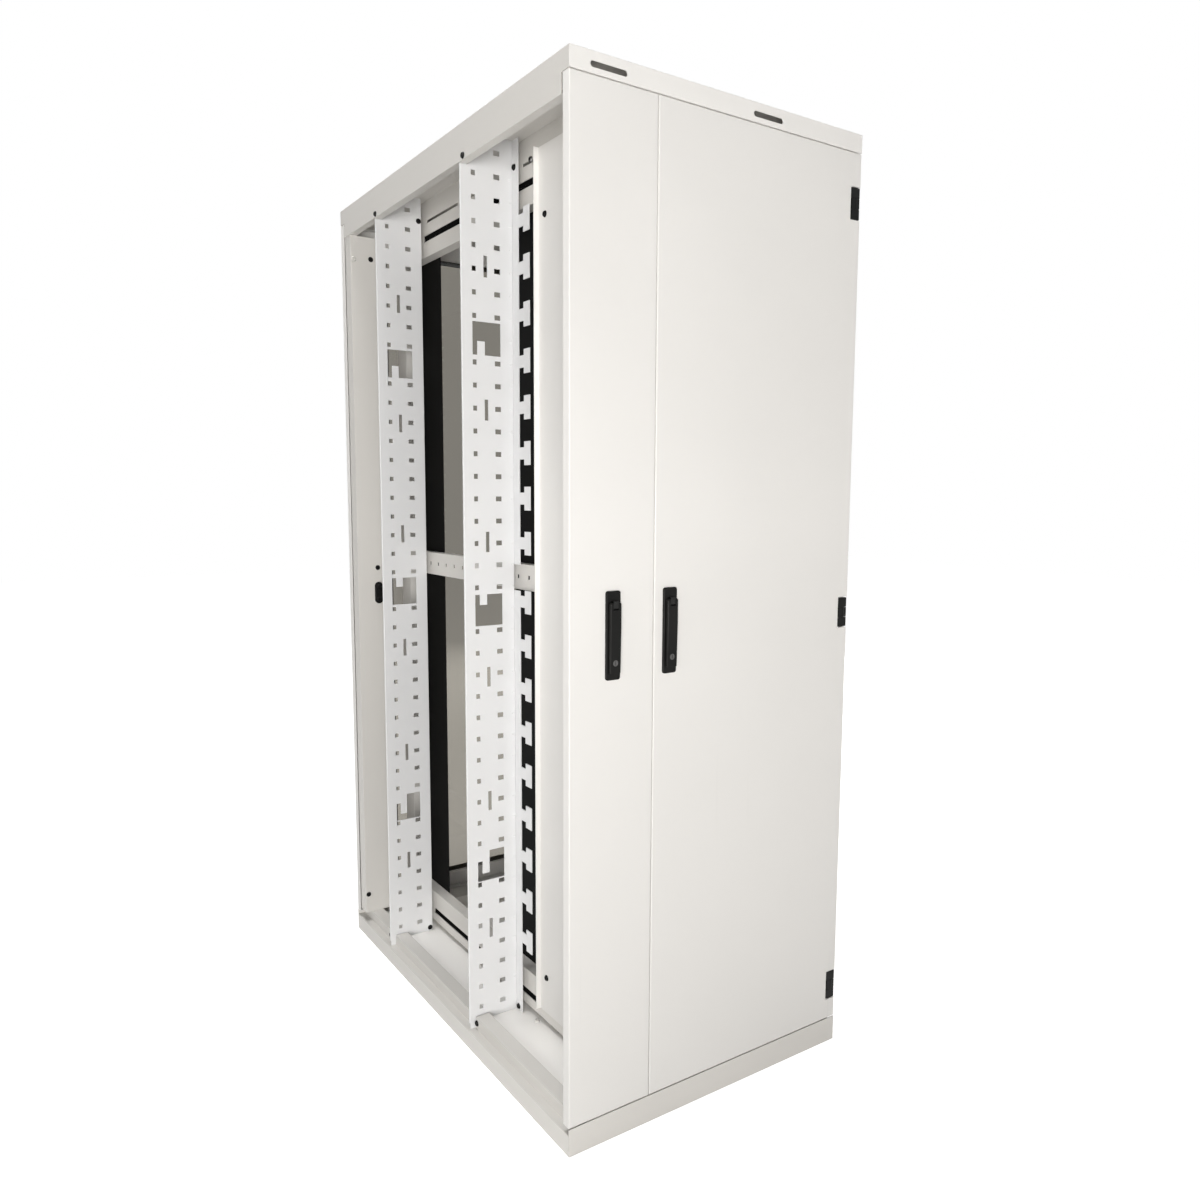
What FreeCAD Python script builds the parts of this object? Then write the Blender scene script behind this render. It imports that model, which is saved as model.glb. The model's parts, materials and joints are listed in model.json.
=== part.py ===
"""Floor-standing equipment cabinet with a vertical cable manager in its open side bay.

The cabinet is modelled from its lower front left corner: x runs to the right, y to the far end
and z up.  Each sub-part's placement then moves it, so that the origin is the middle of the base.
"""
import FreeCAD, Part
import math
import os
import re

import Sketcher
from FreeCAD import Vector

doc = FreeCAD.newDocument("CableManagerCabinet")
sheet = doc.addObject("Spreadsheet::Sheet", "Sizes")

SIZES = {
    # Overall size of the cabinet
    "width": 750,
    "depth": 1200,
    "height": 2080,
    # Frame: header, plinth, beams and side rails, all folded from one sheet
    "metal": 2,
    "header_height": 38,
    "plinth_height": 58,
    "rail_skirt": 44,
    "rail_width": 45,
    "rail_ledge": 20,
    "rail_lip": 54,
    "rail_foot": 30,
    "seat_lip": 15,
    "base_rise": 28,
    "top_skirt": 75,
    "top_hem": 15,
    "header_slot_length": 80,
    "header_slot_height": 11,
    "header_slot_drop": 22,
    "narrow_slot_place": 84,
    "anchor_radius": 7,
    "anchor_inset_x": 90,
    "anchor_inset_y": 48,
    "floor_entry_width": 300,
    "floor_entry_depth": 380,
    "roof_entry_width": 300,
    "roof_entry_depth": 120,
    "roof_entry_place": 840,
    # Posts and depth rails of the equipment section
    "bay_width": 150,
    "post_depth": 62,
    "section_rail_width": 30,
    "far_post_width": 82,
    "far_post_depth": 40,
    "depth_rail_height": 110,
    "low_rail_height": 88,
    "low_slot_rise": 31,
    "rail_slot_height": 16,
    "rail_slot_length": 305,
    "rail_slot_gap": 20,
    "rail_slot_inset": 20,
    "rail_dash_length": 190,
    "rail_dash_height": 7,
    "rail_dash_pitch": 260,
    "rail_dash_rise": 42,
    "brace_height": 60,
    "brace_rise": 72,
    "brace_width": 22,
    "brace_hole": 9,
    "brace_hole_pitch": 50,
    # Partition between the bay and the front of the equipment section
    "partition_depth": 336,
    "partition_inset_low": 37,
    "partition_inset_top": 120,
    "partition_fold": 14,
    # Cable plates
    "front_plate_place": 450,
    "far_plate_place": 950,
    "plate_left": 5,
    "plate_width": 127,
    "plate_return": 4,
    "plate_edge_return": 15,
    "plate_notch_gap": 3,
    "plate_hole_pitch": 50,
    "plate_hole_margin": 34,
    "outer_hole_place": 36,
    "outer_hole_width": 10,
    "inner_hole_place": 93,
    "inner_hole_width": 15,
    "plate_hole_height": 11,
    "window_width": 69.5,
    "window_height": 72,
    "window_place": 26,
    "window_pitch": 604,
    "tongue_place": 12,
    "tongue_width": 18,
    "tongue_height": 30,
    "tongue_shoulder": 24,
    "tie_slot_width": 9,
    "tie_slot_height": 46,
    "tie_slot_place": 64,
    "tie_slot_shift": 155,
    # Finger combs
    "comb_start": 142,
    "comb_root": 41,
    "finger_pitch": 101,
    "comb_low_margin": 50,
    "comb_top_margin": 20,
    "stem_length": 22,
    "stem_height": 27,
    "head_length": 26,
    "head_height": 53,
    # Equipment mounting rails
    "rack_flange": 22.5,
    "rack_hole_inset": 7.5,
    "rack_unit": 44.45,
    "rack_hole": 9.5,
    "rack_first_hole": 130,
    "rack_rail_low": 100,
    "rack_rail_top_gap": 95,
    "front_rack_place": 400,
    "far_rack_place": 130,
    "rack_side_depth": 130,
    # Removable side panel
    "panel_depth": 18,
    "panel_metal": 2,
    "panel_clear": 0.6,
    # Door leaves
    "leaf_depth": 22,
    "leaf_metal": 2,
    "leaf_seam": 196,
    "door_gap": 2,
    "door_clear": 6,
    "stile_width": 130,
    "glass_rail_height": 65,
    "glass_rebate": 12,
    "glass_thickness": 5,
    "glass_lip": 3,
    # Hinges of the wide door and of the glass door
    "hinge_inset": 12,
    "hinge_axis_depth": 8,
    "hinge_height": 66,
    "hinge_knuckle": 8,
    "hinge_split": 22,
    "hinge_gap": 0.5,
    "hinge_notch_width": 30,
    "hinge_notch_gap": 2,
    "hinge_ear": 20,
    "hinge_block_depth": 15,
    "hinge_foot_width": 68,
    "hinge_foot_depth": 3.5,
    "hinge_pin_radius": 3,
    "hinge_low": 84,
    "hinge_top": 145,
    "run_clear": 0.05,
    # Pivots of the narrow door
    "pivot_inset": 12,
    "pivot_depth": 10,
    "pivot_radius": 4,
    "pivot_length": 14,
    # Swing handles
    "handle_height": 1035,
    "handle_width": 33,
    "handle_length": 172,
    "handle_base_depth": 5,
    "handle_corner": 5,
    "narrow_handle_place": 97,
    "wide_handle_place": 234,
    "glass_handle_place": 79,
    "pivot_drop": 26,
    "spindle_radius": 8,
    "boss_width": 12,
    "boss_height": 14,
    "boss_depth": 8,
    "cam_length": 40,
    "cam_width": 14,
    "cam_thickness": 4,
    "cam_place": 10,
    "lever_width": 25,
    "lever_length": 132,
    "lever_depth": 8,
    "lever_tip_depth": 6,
    "lever_lift_gap": 1,
    "lever_fork_gap": 0.4,
    "lever_slot_drop": 10,
    "lever_pin_radius": 2,
    "key_radius": 6,
    "key_drop": 112,
    "key_slot_width": 1.6,
    "key_slot_length": 8,
    "key_slot_depth": 2,
    "handle_edge": 1.5,
}

for row, (alias, value) in enumerate(SIZES.items(), start=1):
    sheet.set(f"A{row}", alias.replace("_", " "))
    sheet.set(f"B{row}", str(value))
    sheet.setAlias(f"B{row}", alias)
doc.recompute()

# Places that several pieces share
FRAME_FRONT = "(leaf_depth + door_clear)"
FRAME_FAR = "(depth - leaf_depth - door_clear)"
HEADER_LOW = "(height - header_height)"
SKIRT_LOW = "(height - top_skirt)"
ROOF_LOW = "(height - 2 * metal)"
BASE_LIP = "(rail_skirt + base_rise)"
FLOOR_SEAT = "(plinth_height - metal)"
POST_BACK = "(leaf_depth + door_clear + post_depth)"
SECTION_INNER = "(bay_width + section_rail_width)"
SECTION_MIDDLE = "((bay_width + width - rail_width) / 2)"
LOW_RAIL_TOP = f"({BASE_LIP} + low_rail_height)"
TOP_RAIL_LOW = "(height - header_height - depth_rail_height)"
BRACE_MIDDLE = "(height / 2 + brace_rise)"
PLATE_RIGHT = "(plate_left + plate_width)"
LEAF_LOW = "(plinth_height + door_gap)"
LEAF_TOP = "(height - header_height - door_gap)"
HINGE_FIRST = "(plinth_height + hinge_low)"
HINGE_REACH = "(height - hinge_top - plinth_height - hinge_low)"
HINGE_X = "(width - hinge_inset)"
NOTCH_X = "(width - hinge_notch_width)"
LEVER_BACK = "(handle_base_depth + lever_lift_gap)"
LEVER_FRONT = "(handle_base_depth + lever_lift_gap + lever_depth)"
LEVER_AXIS_Y = "(handle_base_depth + lever_lift_gap + lever_depth / 2)"
HANDLE_LOW = "(handle_height - handle_length / 2)"
HANDLE_TOP = "(handle_height + handle_length / 2)"
HANDLE_AXIS = "(handle_height + handle_length / 2 - pivot_drop)"

PLANES = {"front": "XZ_Plane", "side": "YZ_Plane", "level": "XY_Plane"}
UP = Vector(0, 0, 1)
INWARDS = Vector(0, 1, 0)
GUESS_RADIUS = 100
SUB_PARTS = []


def bound(expression):
    """An expression on the sheet's bare names, as references to its cells."""
    return re.sub(r"[a-z][a-z_]*", lambda word: word.group() if word.group() == "floor" else
                  "Sizes." + word.group(), str(expression))


def from_far(expression):
    """The same distance, measured from the far end."""
    return f"(depth - ({expression}))"


def from_right(expression):
    """The same distance, measured from the right side."""
    return f"(width - ({expression}))"


def across_section(expression):
    """The mirrored place on the other side of the equipment section."""
    return f"(2 * {SECTION_MIDDLE} - ({expression}))"


def same(expression):
    """A distance left as it is, for the pieces that aren't mirrored."""
    return f"({expression})"


def origin_part(body, role):
    """One of a body's own origin planes or axes."""
    return next(item for item in body.Origin.OriginFeatures if item.Role == role)


def place(item):
    """Move a sub-part so that the origin is the middle of the base, and list it."""
    item.setExpression("Placement.Base.x", bound("-width / 2"))
    item.setExpression("Placement.Base.y", bound("-depth / 2"))
    SUB_PARTS.append(item)
    return item


def new_body(label):
    """An empty body, placed and named after its sub-part."""
    body = doc.addObject("PartDesign::Body", label)
    body.Label = label
    return place(body)


def sketch_at(body, plane, at):
    """A sketch across a body, on the plane that lies `at` along the plane's own axis."""
    sketch = body.newObject("Sketcher::SketchObject", body.Name + "_sketch")
    sketch.AttachmentSupport = [(origin_part(body, PLANES[plane]), "")]
    sketch.MapMode = "FlatFace"
    along = f"-({at})" if plane == "front" else at
    sketch.setExpression("AttachmentOffset.Base.z", bound(along))
    return sketch


def dimension(sketch, geometry, point, across, up):
    """Hold one point of a sketch at two distances from the sketch's origin."""
    spot = sketch.getPoint(geometry, point)
    column = sketch.addConstraint(Sketcher.Constraint("DistanceX", -1, 1, geometry, point, spot.x))
    sketch.setExpression(f"Constraints[{column}]", bound(across))
    level = sketch.addConstraint(Sketcher.Constraint("DistanceY", -1, 1, geometry, point, spot.y))
    sketch.setExpression(f"Constraints[{level}]", bound(up))


def outline(sketch, corners):
    """Draw a closed outline of straight lines through the given corners."""
    first = sketch.GeometryCount
    count = len(corners)
    turn = 2 * math.pi / count
    rim = [Vector(math.cos(turn * i), math.sin(turn * i), 0) * GUESS_RADIUS for i in range(count)]
    for i in range(count):
        sketch.addGeometry(Part.LineSegment(rim[i], rim[(i + 1) % count]), False)
    for i in range(count):
        sketch.addConstraint(Sketcher.Constraint("Coincident", first + i, 2, first + (i + 1) % count, 1))
    for i, (across, up) in enumerate(corners):
        dimension(sketch, first + i, 1, across, up)


def circle(sketch, across, up, radius):
    """Draw a circle."""
    ring = sketch.addGeometry(Part.Circle(Vector(0, 0, 0), UP, GUESS_RADIUS), False)
    size = sketch.addConstraint(Sketcher.Constraint("Radius", ring, GUESS_RADIUS))
    sketch.setExpression(f"Constraints[{size}]", bound(radius))
    dimension(sketch, ring, 3, across, up)


def oblong(sketch, across, up, length, height):
    """Draw a slot with round ends, centred on a point."""
    near, far, flat = Vector(-40, 0, 0), Vector(40, 0, 0), Vector(0, 20, 0)
    quarter = math.pi / 2
    left = sketch.addGeometry(Part.ArcOfCircle(Part.Circle(near, UP, 20), quarter, 3 * quarter), False)
    right = sketch.addGeometry(Part.ArcOfCircle(Part.Circle(far, UP, 20), -quarter, quarter), False)
    above = sketch.addGeometry(Part.LineSegment(near + flat, far + flat), False)
    below = sketch.addGeometry(Part.LineSegment(near - flat, far - flat), False)
    for arc, arc_end, line, line_end in ((left, 1, above, 1), (left, 2, below, 1),
                                         (right, 2, above, 2), (right, 1, below, 2)):
        sketch.addConstraint(Sketcher.Constraint("Tangent", arc, arc_end, line, line_end))
    sketch.addConstraint(Sketcher.Constraint("Equal", left, right))
    size = sketch.addConstraint(Sketcher.Constraint("Radius", left, 20))
    sketch.setExpression(f"Constraints[{size}]", bound(f"({height}) / 2"))
    run = f"(({length}) - ({height})) / 2"
    dimension(sketch, left, 3, f"({across}) - {run}", up)
    dimension(sketch, right, 3, f"({across}) + {run}", up)


def rectangle(across_low, across_high, up_low, up_high):
    """The four corners of an upright rectangle."""
    return [(across_low, up_low), (across_high, up_low), (across_high, up_high), (across_low, up_high)]


def grow(body, plane, at, length, *outlines):
    """Pad outlines from `at` along the plane's axis, towards larger values."""
    sketch = sketch_at(body, plane, at)
    draw_all(sketch, outlines)
    pad = body.newObject("PartDesign::Pad", body.Name + "_pad")
    pad.Profile = sketch
    pad.Reversed = plane == "front"
    pad.setExpression("Length", bound(length))
    return pad


def cut(body, plane, at, length, *outlines):
    """Pocket outlines from `at` along the plane's axis, towards larger values."""
    sketch = sketch_at(body, plane, at)
    draw_all(sketch, outlines)
    pocket = body.newObject("PartDesign::Pocket", body.Name + "_pocket")
    pocket.Profile = sketch
    pocket.Reversed = plane != "front"
    pocket.setExpression("Length", bound(length))
    return pocket


def draw_all(sketch, outlines):
    """Draw each outline: a list of corners, or a function's name with its sizes."""
    for shape in outlines:
        if isinstance(shape, list):
            outline(sketch, shape)
        else:
            shape[0](sketch, *shape[1:])


def repeat(body, feature, axis, reach, count):
    """Repeat a feature along an axis, evenly over a reach."""
    pattern = body.newObject("PartDesign::LinearPattern", body.Name + "_row")
    pattern.Originals = [feature]
    pattern.Direction = (origin_part(body, axis), [""])
    pattern.setExpression("Length", bound(reach))
    pattern.setExpression("Occurrences", bound(count))
    body.Tip = pattern
    return pattern


def fit_count(reach, pitch):
    """How many items of a row fit in a reach."""
    return f"(floor(({reach}) / ({pitch})) + 1)"


def row_of(body, feature, axis, reach, pitch):
    """Repeat a feature at a fixed pitch, as often as the reach allows."""
    count = fit_count(reach, pitch)
    return repeat(body, feature, axis, f"({pitch}) * ({count} - 1)", count)


def runs_along(edge, direction):
    """Does an edge run along one direction?"""
    run = edge.Vertexes[-1].Point - edge.Vertexes[0].Point
    return run.Length > 0 and run.cross(direction).Length < 1e-6 * run.Length


def lies_on(edge, box, side):
    """Does an edge lie on one side of a box, such as YMin?"""
    low, high = getattr(edge.BoundBox, side[0] + "Min"), getattr(edge.BoundBox, side[0] + "Max")
    return max(abs(low - getattr(box, side)), abs(high - getattr(box, side))) < 1e-4


def dress_edges(body, kind, chosen):
    """Fillet or chamfer the edges of a body's last feature that a test of edge and box picks."""
    doc.recompute()
    base = body.Tip
    box = base.Shape.BoundBox
    names = [f"Edge{number}" for number, edge in enumerate(base.Shape.Edges, start=1) if chosen(edge, box)]
    feature = body.newObject(f"PartDesign::{kind}", f"{body.Name}_{kind.lower()}")
    feature.Base = (base, names)
    return feature


def round_edges(body, radius, chosen):
    """Round the chosen edges of a body's last feature."""
    dress_edges(body, "Fillet", chosen).setExpression("Radius", bound(radius))


def round_face(body, radius, side):
    """Round the edges round one side of a body's last feature."""
    round_edges(body, radius, lambda edge, box: lies_on(edge, box, side))


def bevel_faces(body, size, *sides):
    """Bevel the edges round some sides of a body's last feature."""
    bevel = dress_edges(body, "Chamfer", lambda edge, box: any(lies_on(edge, box, side) for side in sides))
    bevel.setExpression("Size", bound(size))


def end_reliefs(body, up_low, up_high):
    """Cut a side rail's ends clear of the door leaves."""
    near = rectangle("-metal", FRAME_FRONT, up_low, up_high)
    far = rectangle(FRAME_FAR, "depth + metal", up_low, up_high)
    cut(body, "side", "-metal", "width + 2 * metal", near, far)


def plate_notches(body, up_low, reach):
    """Cut the left rails' steps away where the cable plates pass."""
    spans = []
    for low in ("front_plate_place", "far_plate_place"):
        spans.append(rectangle("metal", "rail_width + seat_lip + metal", f"{low} - plate_notch_gap",
                               f"{low} + plate_return + plate_notch_gap"))
    cut(body, "level", up_low, reach, *spans)


def post_notches(body):
    """Cut the right base rail's lip away round the two posts beside it."""
    inner = from_right("rail_lip + metal")
    outer = from_right("rail_width")
    near = rectangle(inner, outer, f"{FRAME_FRONT} - metal", f"{POST_BACK} + metal")
    far = rectangle(inner, outer, f"{from_far(POST_BACK)} - metal", f"{FRAME_FAR} + metal")
    cut(body, "level", f"{BASE_LIP} - 2 * metal", "3 * metal", near, far)


def base_rail(label, across):
    """A stepped base rail: skirt, panel ledge, riser, lip and the seat of the floor."""
    body = new_body(label)
    profile = [
        ("0", "0"),
        ("0", "rail_skirt"),
        ("rail_ledge", "rail_skirt"),
        ("rail_ledge", BASE_LIP),
        ("rail_lip", BASE_LIP),
        ("rail_lip", f"{BASE_LIP} - metal"),
        ("rail_width", f"{BASE_LIP} - metal"),
        ("rail_width", FLOOR_SEAT),
        ("rail_width + seat_lip", FLOOR_SEAT),
        ("rail_width + seat_lip", f"{FLOOR_SEAT} - metal"),
        ("rail_width - metal", f"{FLOOR_SEAT} - metal"),
        ("rail_width - metal", f"{BASE_LIP} - metal"),
        ("rail_ledge + metal", f"{BASE_LIP} - metal"),
        ("rail_ledge + metal", "rail_skirt - metal"),
        ("metal", "rail_skirt - metal"),
        ("metal", "metal"),
        ("rail_foot", "metal"),
        ("rail_foot", "0"),
    ]
    corners = [(across(x), z) for x, z in profile]
    grow(body, "front", "metal", "depth - 2 * metal", corners)
    end_reliefs(body, "plinth_height", f"{BASE_LIP} + metal")
    return body


def top_rail(label, across):
    """A top rail: roof flange, skirt and a panel ledge with its edge turned up."""
    body = new_body(label)
    profile = [
        ("rail_width + seat_lip", "height"),
        ("0", "height"),
        ("0", SKIRT_LOW),
        ("rail_ledge", SKIRT_LOW),
        ("rail_ledge", f"{SKIRT_LOW} + top_hem"),
        ("rail_ledge - metal", f"{SKIRT_LOW} + top_hem"),
        ("rail_ledge - metal", f"{SKIRT_LOW} + metal"),
        ("metal", f"{SKIRT_LOW} + metal"),
        ("metal", "height - metal"),
        ("rail_width + seat_lip", "height - metal"),
    ]
    corners = [(across(x), z) for x, z in profile]
    grow(body, "front", "metal", "depth - 2 * metal", corners)
    end_reliefs(body, f"{SKIRT_LOW} - metal", HEADER_LOW)
    return body


def base_beam(label, along):
    """A channel across the base with a full-width face and the floor anchor holes."""
    body = new_body(label)
    profile = [
        ("0", "0"),
        (POST_BACK, "0"),
        (POST_BACK, "metal"),
        ("metal", "metal"),
        ("metal", FLOOR_SEAT),
        (POST_BACK, FLOOR_SEAT),
        (POST_BACK, "plinth_height"),
        ("0", "plinth_height"),
    ]
    grow(body, "side", "rail_width", "width - 2 * rail_width", [(along(y), z) for y, z in profile])
    face = "0" if along is same else "depth - metal"
    grow(body, "front", face, "metal", rectangle("0", "width", "0", "plinth_height"))
    row = along("anchor_inset_y")
    cut(body, "level", "-metal", "3 * metal",
        (circle, "anchor_inset_x", row, "anchor_radius"),
        (circle, from_right("anchor_inset_x"), row, "anchor_radius"))
    return body


def top_beam(label, along):
    """The header: a full-width face with a flange that the posts meet."""
    body = new_body(label)
    face = "0" if along is same else "depth - metal"
    flange = "metal" if along is same else from_far(POST_BACK)
    grow(body, "front", face, "metal", rectangle("0", "width", HEADER_LOW, "height"))
    grow(body, "front", flange, f"{POST_BACK} - metal",
         rectangle("metal", "width - metal", HEADER_LOW, f"{HEADER_LOW} + metal"))
    if along is same:
        level = "height - header_slot_drop"
        middle = "(leaf_seam + width) / 2"
        cut(body, "front", "-metal", "3 * metal",
            (oblong, "narrow_slot_place", level, "header_slot_length", "header_slot_height"),
            (oblong, middle, level, "header_slot_length", "header_slot_height"))
    return body


def flat_cover(label, low, near, far, entry_place, entry_width, entry_depth):
    """The floor or the roof: a sheet between the side rails with a cable entry in the section."""
    body = new_body(label)
    grow(body, "level", low, "metal", rectangle("rail_width", "width - rail_width", near, far))
    cut(body, "level", f"{low} - metal", "3 * metal",
        rectangle(f"{SECTION_MIDDLE} - {entry_width} / 2", f"{SECTION_MIDDLE} + {entry_width} / 2",
                  f"{entry_place} - {entry_depth} / 2", f"{entry_place} + {entry_depth} / 2"))
    return body


def channel(across_open, across_web, low, high, web):
    """A channel's section: a web and two flanges that point to the open side."""
    return [
        (across_open, low),
        (across_web, low),
        (across_web, high),
        (across_open, high),
        (across_open, f"{high} - metal"),
        (web, f"{high} - metal"),
        (web, f"{low} + metal"),
        (across_open, f"{low} + metal"),
    ]


def section_post(label, across_open, across_web, web, near, far):
    """An upright channel between the base beam and the header."""
    body = new_body(label)
    grow(body, "level", "plinth_height", f"{HEADER_LOW} - plinth_height",
         channel(across_open, across_web, near, far, web))
    return body


def far_left_post():
    """The bay's far post, between the base rail's lip and the top rail's ledge."""
    body = new_body("far_left_post")
    near = f"({FRAME_FAR} - far_post_depth)"
    section = [
        ("metal", FRAME_FAR),
        ("metal", near),
        ("metal + far_post_width", near),
        ("metal + far_post_width", FRAME_FAR),
        ("far_post_width", FRAME_FAR),
        ("far_post_width", f"{near} + metal"),
        ("2 * metal", f"{near} + metal"),
        ("2 * metal", FRAME_FAR),
    ]
    grow(body, "level", BASE_LIP, f"{SKIRT_LOW} - {BASE_LIP}", section)
    return body


def depth_rail(label, across_open, across_web, web, low, high, slot_level=None, dash_level=None):
    """A channel between the posts; its web can have two long slots and a row of dashes."""
    body = new_body(label)
    grow(body, "front", POST_BACK, f"depth - 2 * {POST_BACK}",
         channel(across_open, across_web, low, high, web))
    if slot_level:
        middle = "(depth / 2 + post_depth)"
        cut(body, "side", f"{across_web} - metal", "3 * metal",
            rectangle(f"{middle} - rail_slot_length - rail_slot_gap / 2", f"{middle} - rail_slot_gap / 2",
                      f"{slot_level} - rail_slot_height / 2", f"{slot_level} + rail_slot_height / 2"),
            rectangle(f"{middle} + rail_slot_gap / 2", f"{middle} + rail_slot_gap / 2 + rail_slot_length",
                      f"{slot_level} - rail_slot_height / 2", f"{slot_level} + rail_slot_height / 2"))
    if dash_level:
        reach = f"(depth - 2 * {POST_BACK} - rail_dash_pitch)"
        row = f"(rail_dash_pitch * floor({reach} / rail_dash_pitch))"
        first = f"(depth / 2 - {row} / 2)"
        dash = cut(body, "side", f"{across_web} - metal", "3 * metal",
                   rectangle(f"{first} - rail_dash_length / 2", f"{first} + rail_dash_length / 2",
                             f"{dash_level} - rail_dash_height / 2",
                             f"{dash_level} + rail_dash_height / 2"))
        row_of(body, dash, "Y_Axis", reach, "rail_dash_pitch")
    return body


def middle_brace(label, across_open, across_web, web):
    """The shallow channel at middle height, with a row of square holes."""
    body = new_body(label)
    low = f"({BRACE_MIDDLE} - brace_height / 2)"
    high = f"({BRACE_MIDDLE} + brace_height / 2)"
    grow(body, "front", POST_BACK, f"depth - 2 * {POST_BACK}",
         channel(across_open, across_web, low, high, web))
    first = f"({POST_BACK} + brace_hole_pitch / 2)"
    hole = cut(body, "side", f"{across_web} - metal", "3 * metal",
               rectangle(f"{first} - brace_hole / 2", f"{first} + brace_hole / 2",
                         f"{BRACE_MIDDLE} - brace_hole / 2", f"{BRACE_MIDDLE} + brace_hole / 2"))
    row_of(body, hole, "Y_Axis", f"depth - 2 * {POST_BACK} - brace_hole_pitch", "brace_hole_pitch")
    return body


def partition_panel():
    """The plain sheet beside the front of the bay, with its rear edge folded into the bay."""
    body = new_body("partition_panel")
    low = "(plinth_height + partition_inset_low)"
    top = "(height - partition_inset_top)"
    rear = f"({FRAME_FRONT} + partition_depth)"
    section = [
        ("bay_width", FRAME_FRONT),
        ("bay_width", rear),
        ("bay_width - partition_fold", rear),
        ("bay_width - partition_fold", f"{rear} - metal"),
        ("bay_width - metal", f"{rear} - metal"),
        ("bay_width - metal", FRAME_FRONT),
    ]
    grow(body, "level", low, f"{top} - {low}", section)
    return body


def cable_plate(label, near):
    """A tall folded plate: holes in two rows, cable windows with tongues, and tie slots."""
    body = new_body(label)
    section = [
        ("plate_left", near),
        (PLATE_RIGHT, near),
        (PLATE_RIGHT, f"{near} + plate_edge_return"),
        (f"{PLATE_RIGHT} - metal", f"{near} + plate_edge_return"),
        (f"{PLATE_RIGHT} - metal", f"{near} + metal"),
        ("plate_left + metal", f"{near} + metal"),
        ("plate_left + metal", f"{near} + plate_return"),
        ("plate_left", f"{near} + plate_return"),
    ]
    grow(body, "level", "plinth_height", f"{ROOF_LOW} - plinth_height", section)
    round_edges(body, "metal", lambda edge, box: runs_along(edge, UP) and lies_on(edge, box, "YMin"))
    foot = rectangle("plate_left + metal", "rail_width - metal", "rail_skirt", "plinth_height")
    grow(body, "front", near, "metal", foot)
    middle = "(height / 2)"
    left = "(plate_left + window_place)"
    right = "(plate_left + window_place + window_width)"
    low = f"({middle} - window_height / 2)"
    top = f"({middle} + window_height / 2)"
    near_side = f"({left} + tongue_place)"
    far_side = f"({near_side} + tongue_width)"
    top_window = [
        (left, f"{low} + window_pitch"),
        (near_side, f"{low} + window_pitch"),
        (near_side, f"{low} + window_pitch + tongue_height"),
        (far_side, f"{low} + window_pitch + tongue_height"),
        (far_side, f"{low} + window_pitch"),
        (right, f"{low} + window_pitch"),
        (right, f"{top} + window_pitch"),
        (left, f"{top} + window_pitch"),
    ]
    middle_window = [
        (left, low),
        (right, low),
        (right, top),
        (far_side, top),
        (far_side, f"{top} - tongue_shoulder"),
        (near_side, f"{top} - tongue_shoulder"),
        (near_side, top),
        (left, top),
    ]
    low_window = [
        (left, f"{low} - window_pitch"),
        (right, f"{low} - window_pitch"),
        (right, f"{top} - window_pitch"),
        (far_side, f"{top} - window_pitch"),
        (far_side, f"{top} - window_pitch - tongue_shoulder - tongue_height"),
        (near_side, f"{top} - window_pitch - tongue_shoulder - tongue_height"),
        (near_side, f"{top} - window_pitch - tongue_shoulder"),
        (left, f"{top} - window_pitch - tongue_shoulder"),
    ]
    cut(body, "front", f"{near} - metal", "3 * metal", top_window, middle_window, low_window)
    slots = []
    for shift in ("-window_pitch", "0", "window_pitch"):
        for side in ("- tie_slot_shift", "+ tie_slot_shift"):
            level = f"({middle} + {shift} {side})"
            slots.append(rectangle(
                "tie_slot_place - tie_slot_width / 2", "tie_slot_place + tie_slot_width / 2",
                f"{level} - tie_slot_height / 2", f"{level} + tie_slot_height / 2"))
    cut(body, "front", f"{near} - metal", "3 * metal", *slots)
    first = "(plinth_height + plate_hole_margin)"
    reach = f"{ROOF_LOW} - plinth_height - 2 * plate_hole_margin"
    rows = (("outer_hole_place", "outer_hole_width"), ("inner_hole_place", "inner_hole_width"))
    for across, size in rows:
        hole = cut(body, "front", f"{near} - metal", "3 * metal",
                   rectangle(f"{across} - {size} / 2", f"{across} + {size} / 2",
                             f"{first} - plate_hole_height / 2", f"{first} + plate_hole_height / 2"))
        row_of(body, hole, "Z_Axis", reach, "plate_hole_pitch")
    return body


def finger_comb(label, low, high, strip_low, strip_high):
    """A strip of T-shaped fingers that cables pass between, fixed to the front plate's edge."""
    body = new_body(label)
    rear = "(front_plate_place + plate_edge_return)"
    root = f"({rear} - comb_root)"
    grow(body, "side", PLATE_RIGHT, "metal", rectangle(root, rear, strip_low, strip_high))
    middle = f"({low} + comb_low_margin)"
    neck = f"({root} - stem_length)"
    tip = f"({neck} - head_length)"
    finger = [
        (root, f"{middle} - stem_height / 2"),
        (root, f"{middle} + stem_height / 2"),
        (neck, f"{middle} + stem_height / 2"),
        (neck, f"{middle} + head_height / 2"),
        (tip, f"{middle} + head_height / 2"),
        (tip, f"{middle} - head_height / 2"),
        (neck, f"{middle} - head_height / 2"),
        (neck, f"{middle} - stem_height / 2"),
    ]
    pad = grow(body, "side", PLATE_RIGHT, "metal", finger)
    row_of(body, pad, "Z_Axis", f"{high} - {low} - comb_low_margin - comb_top_margin", "finger_pitch")
    return body


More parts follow.
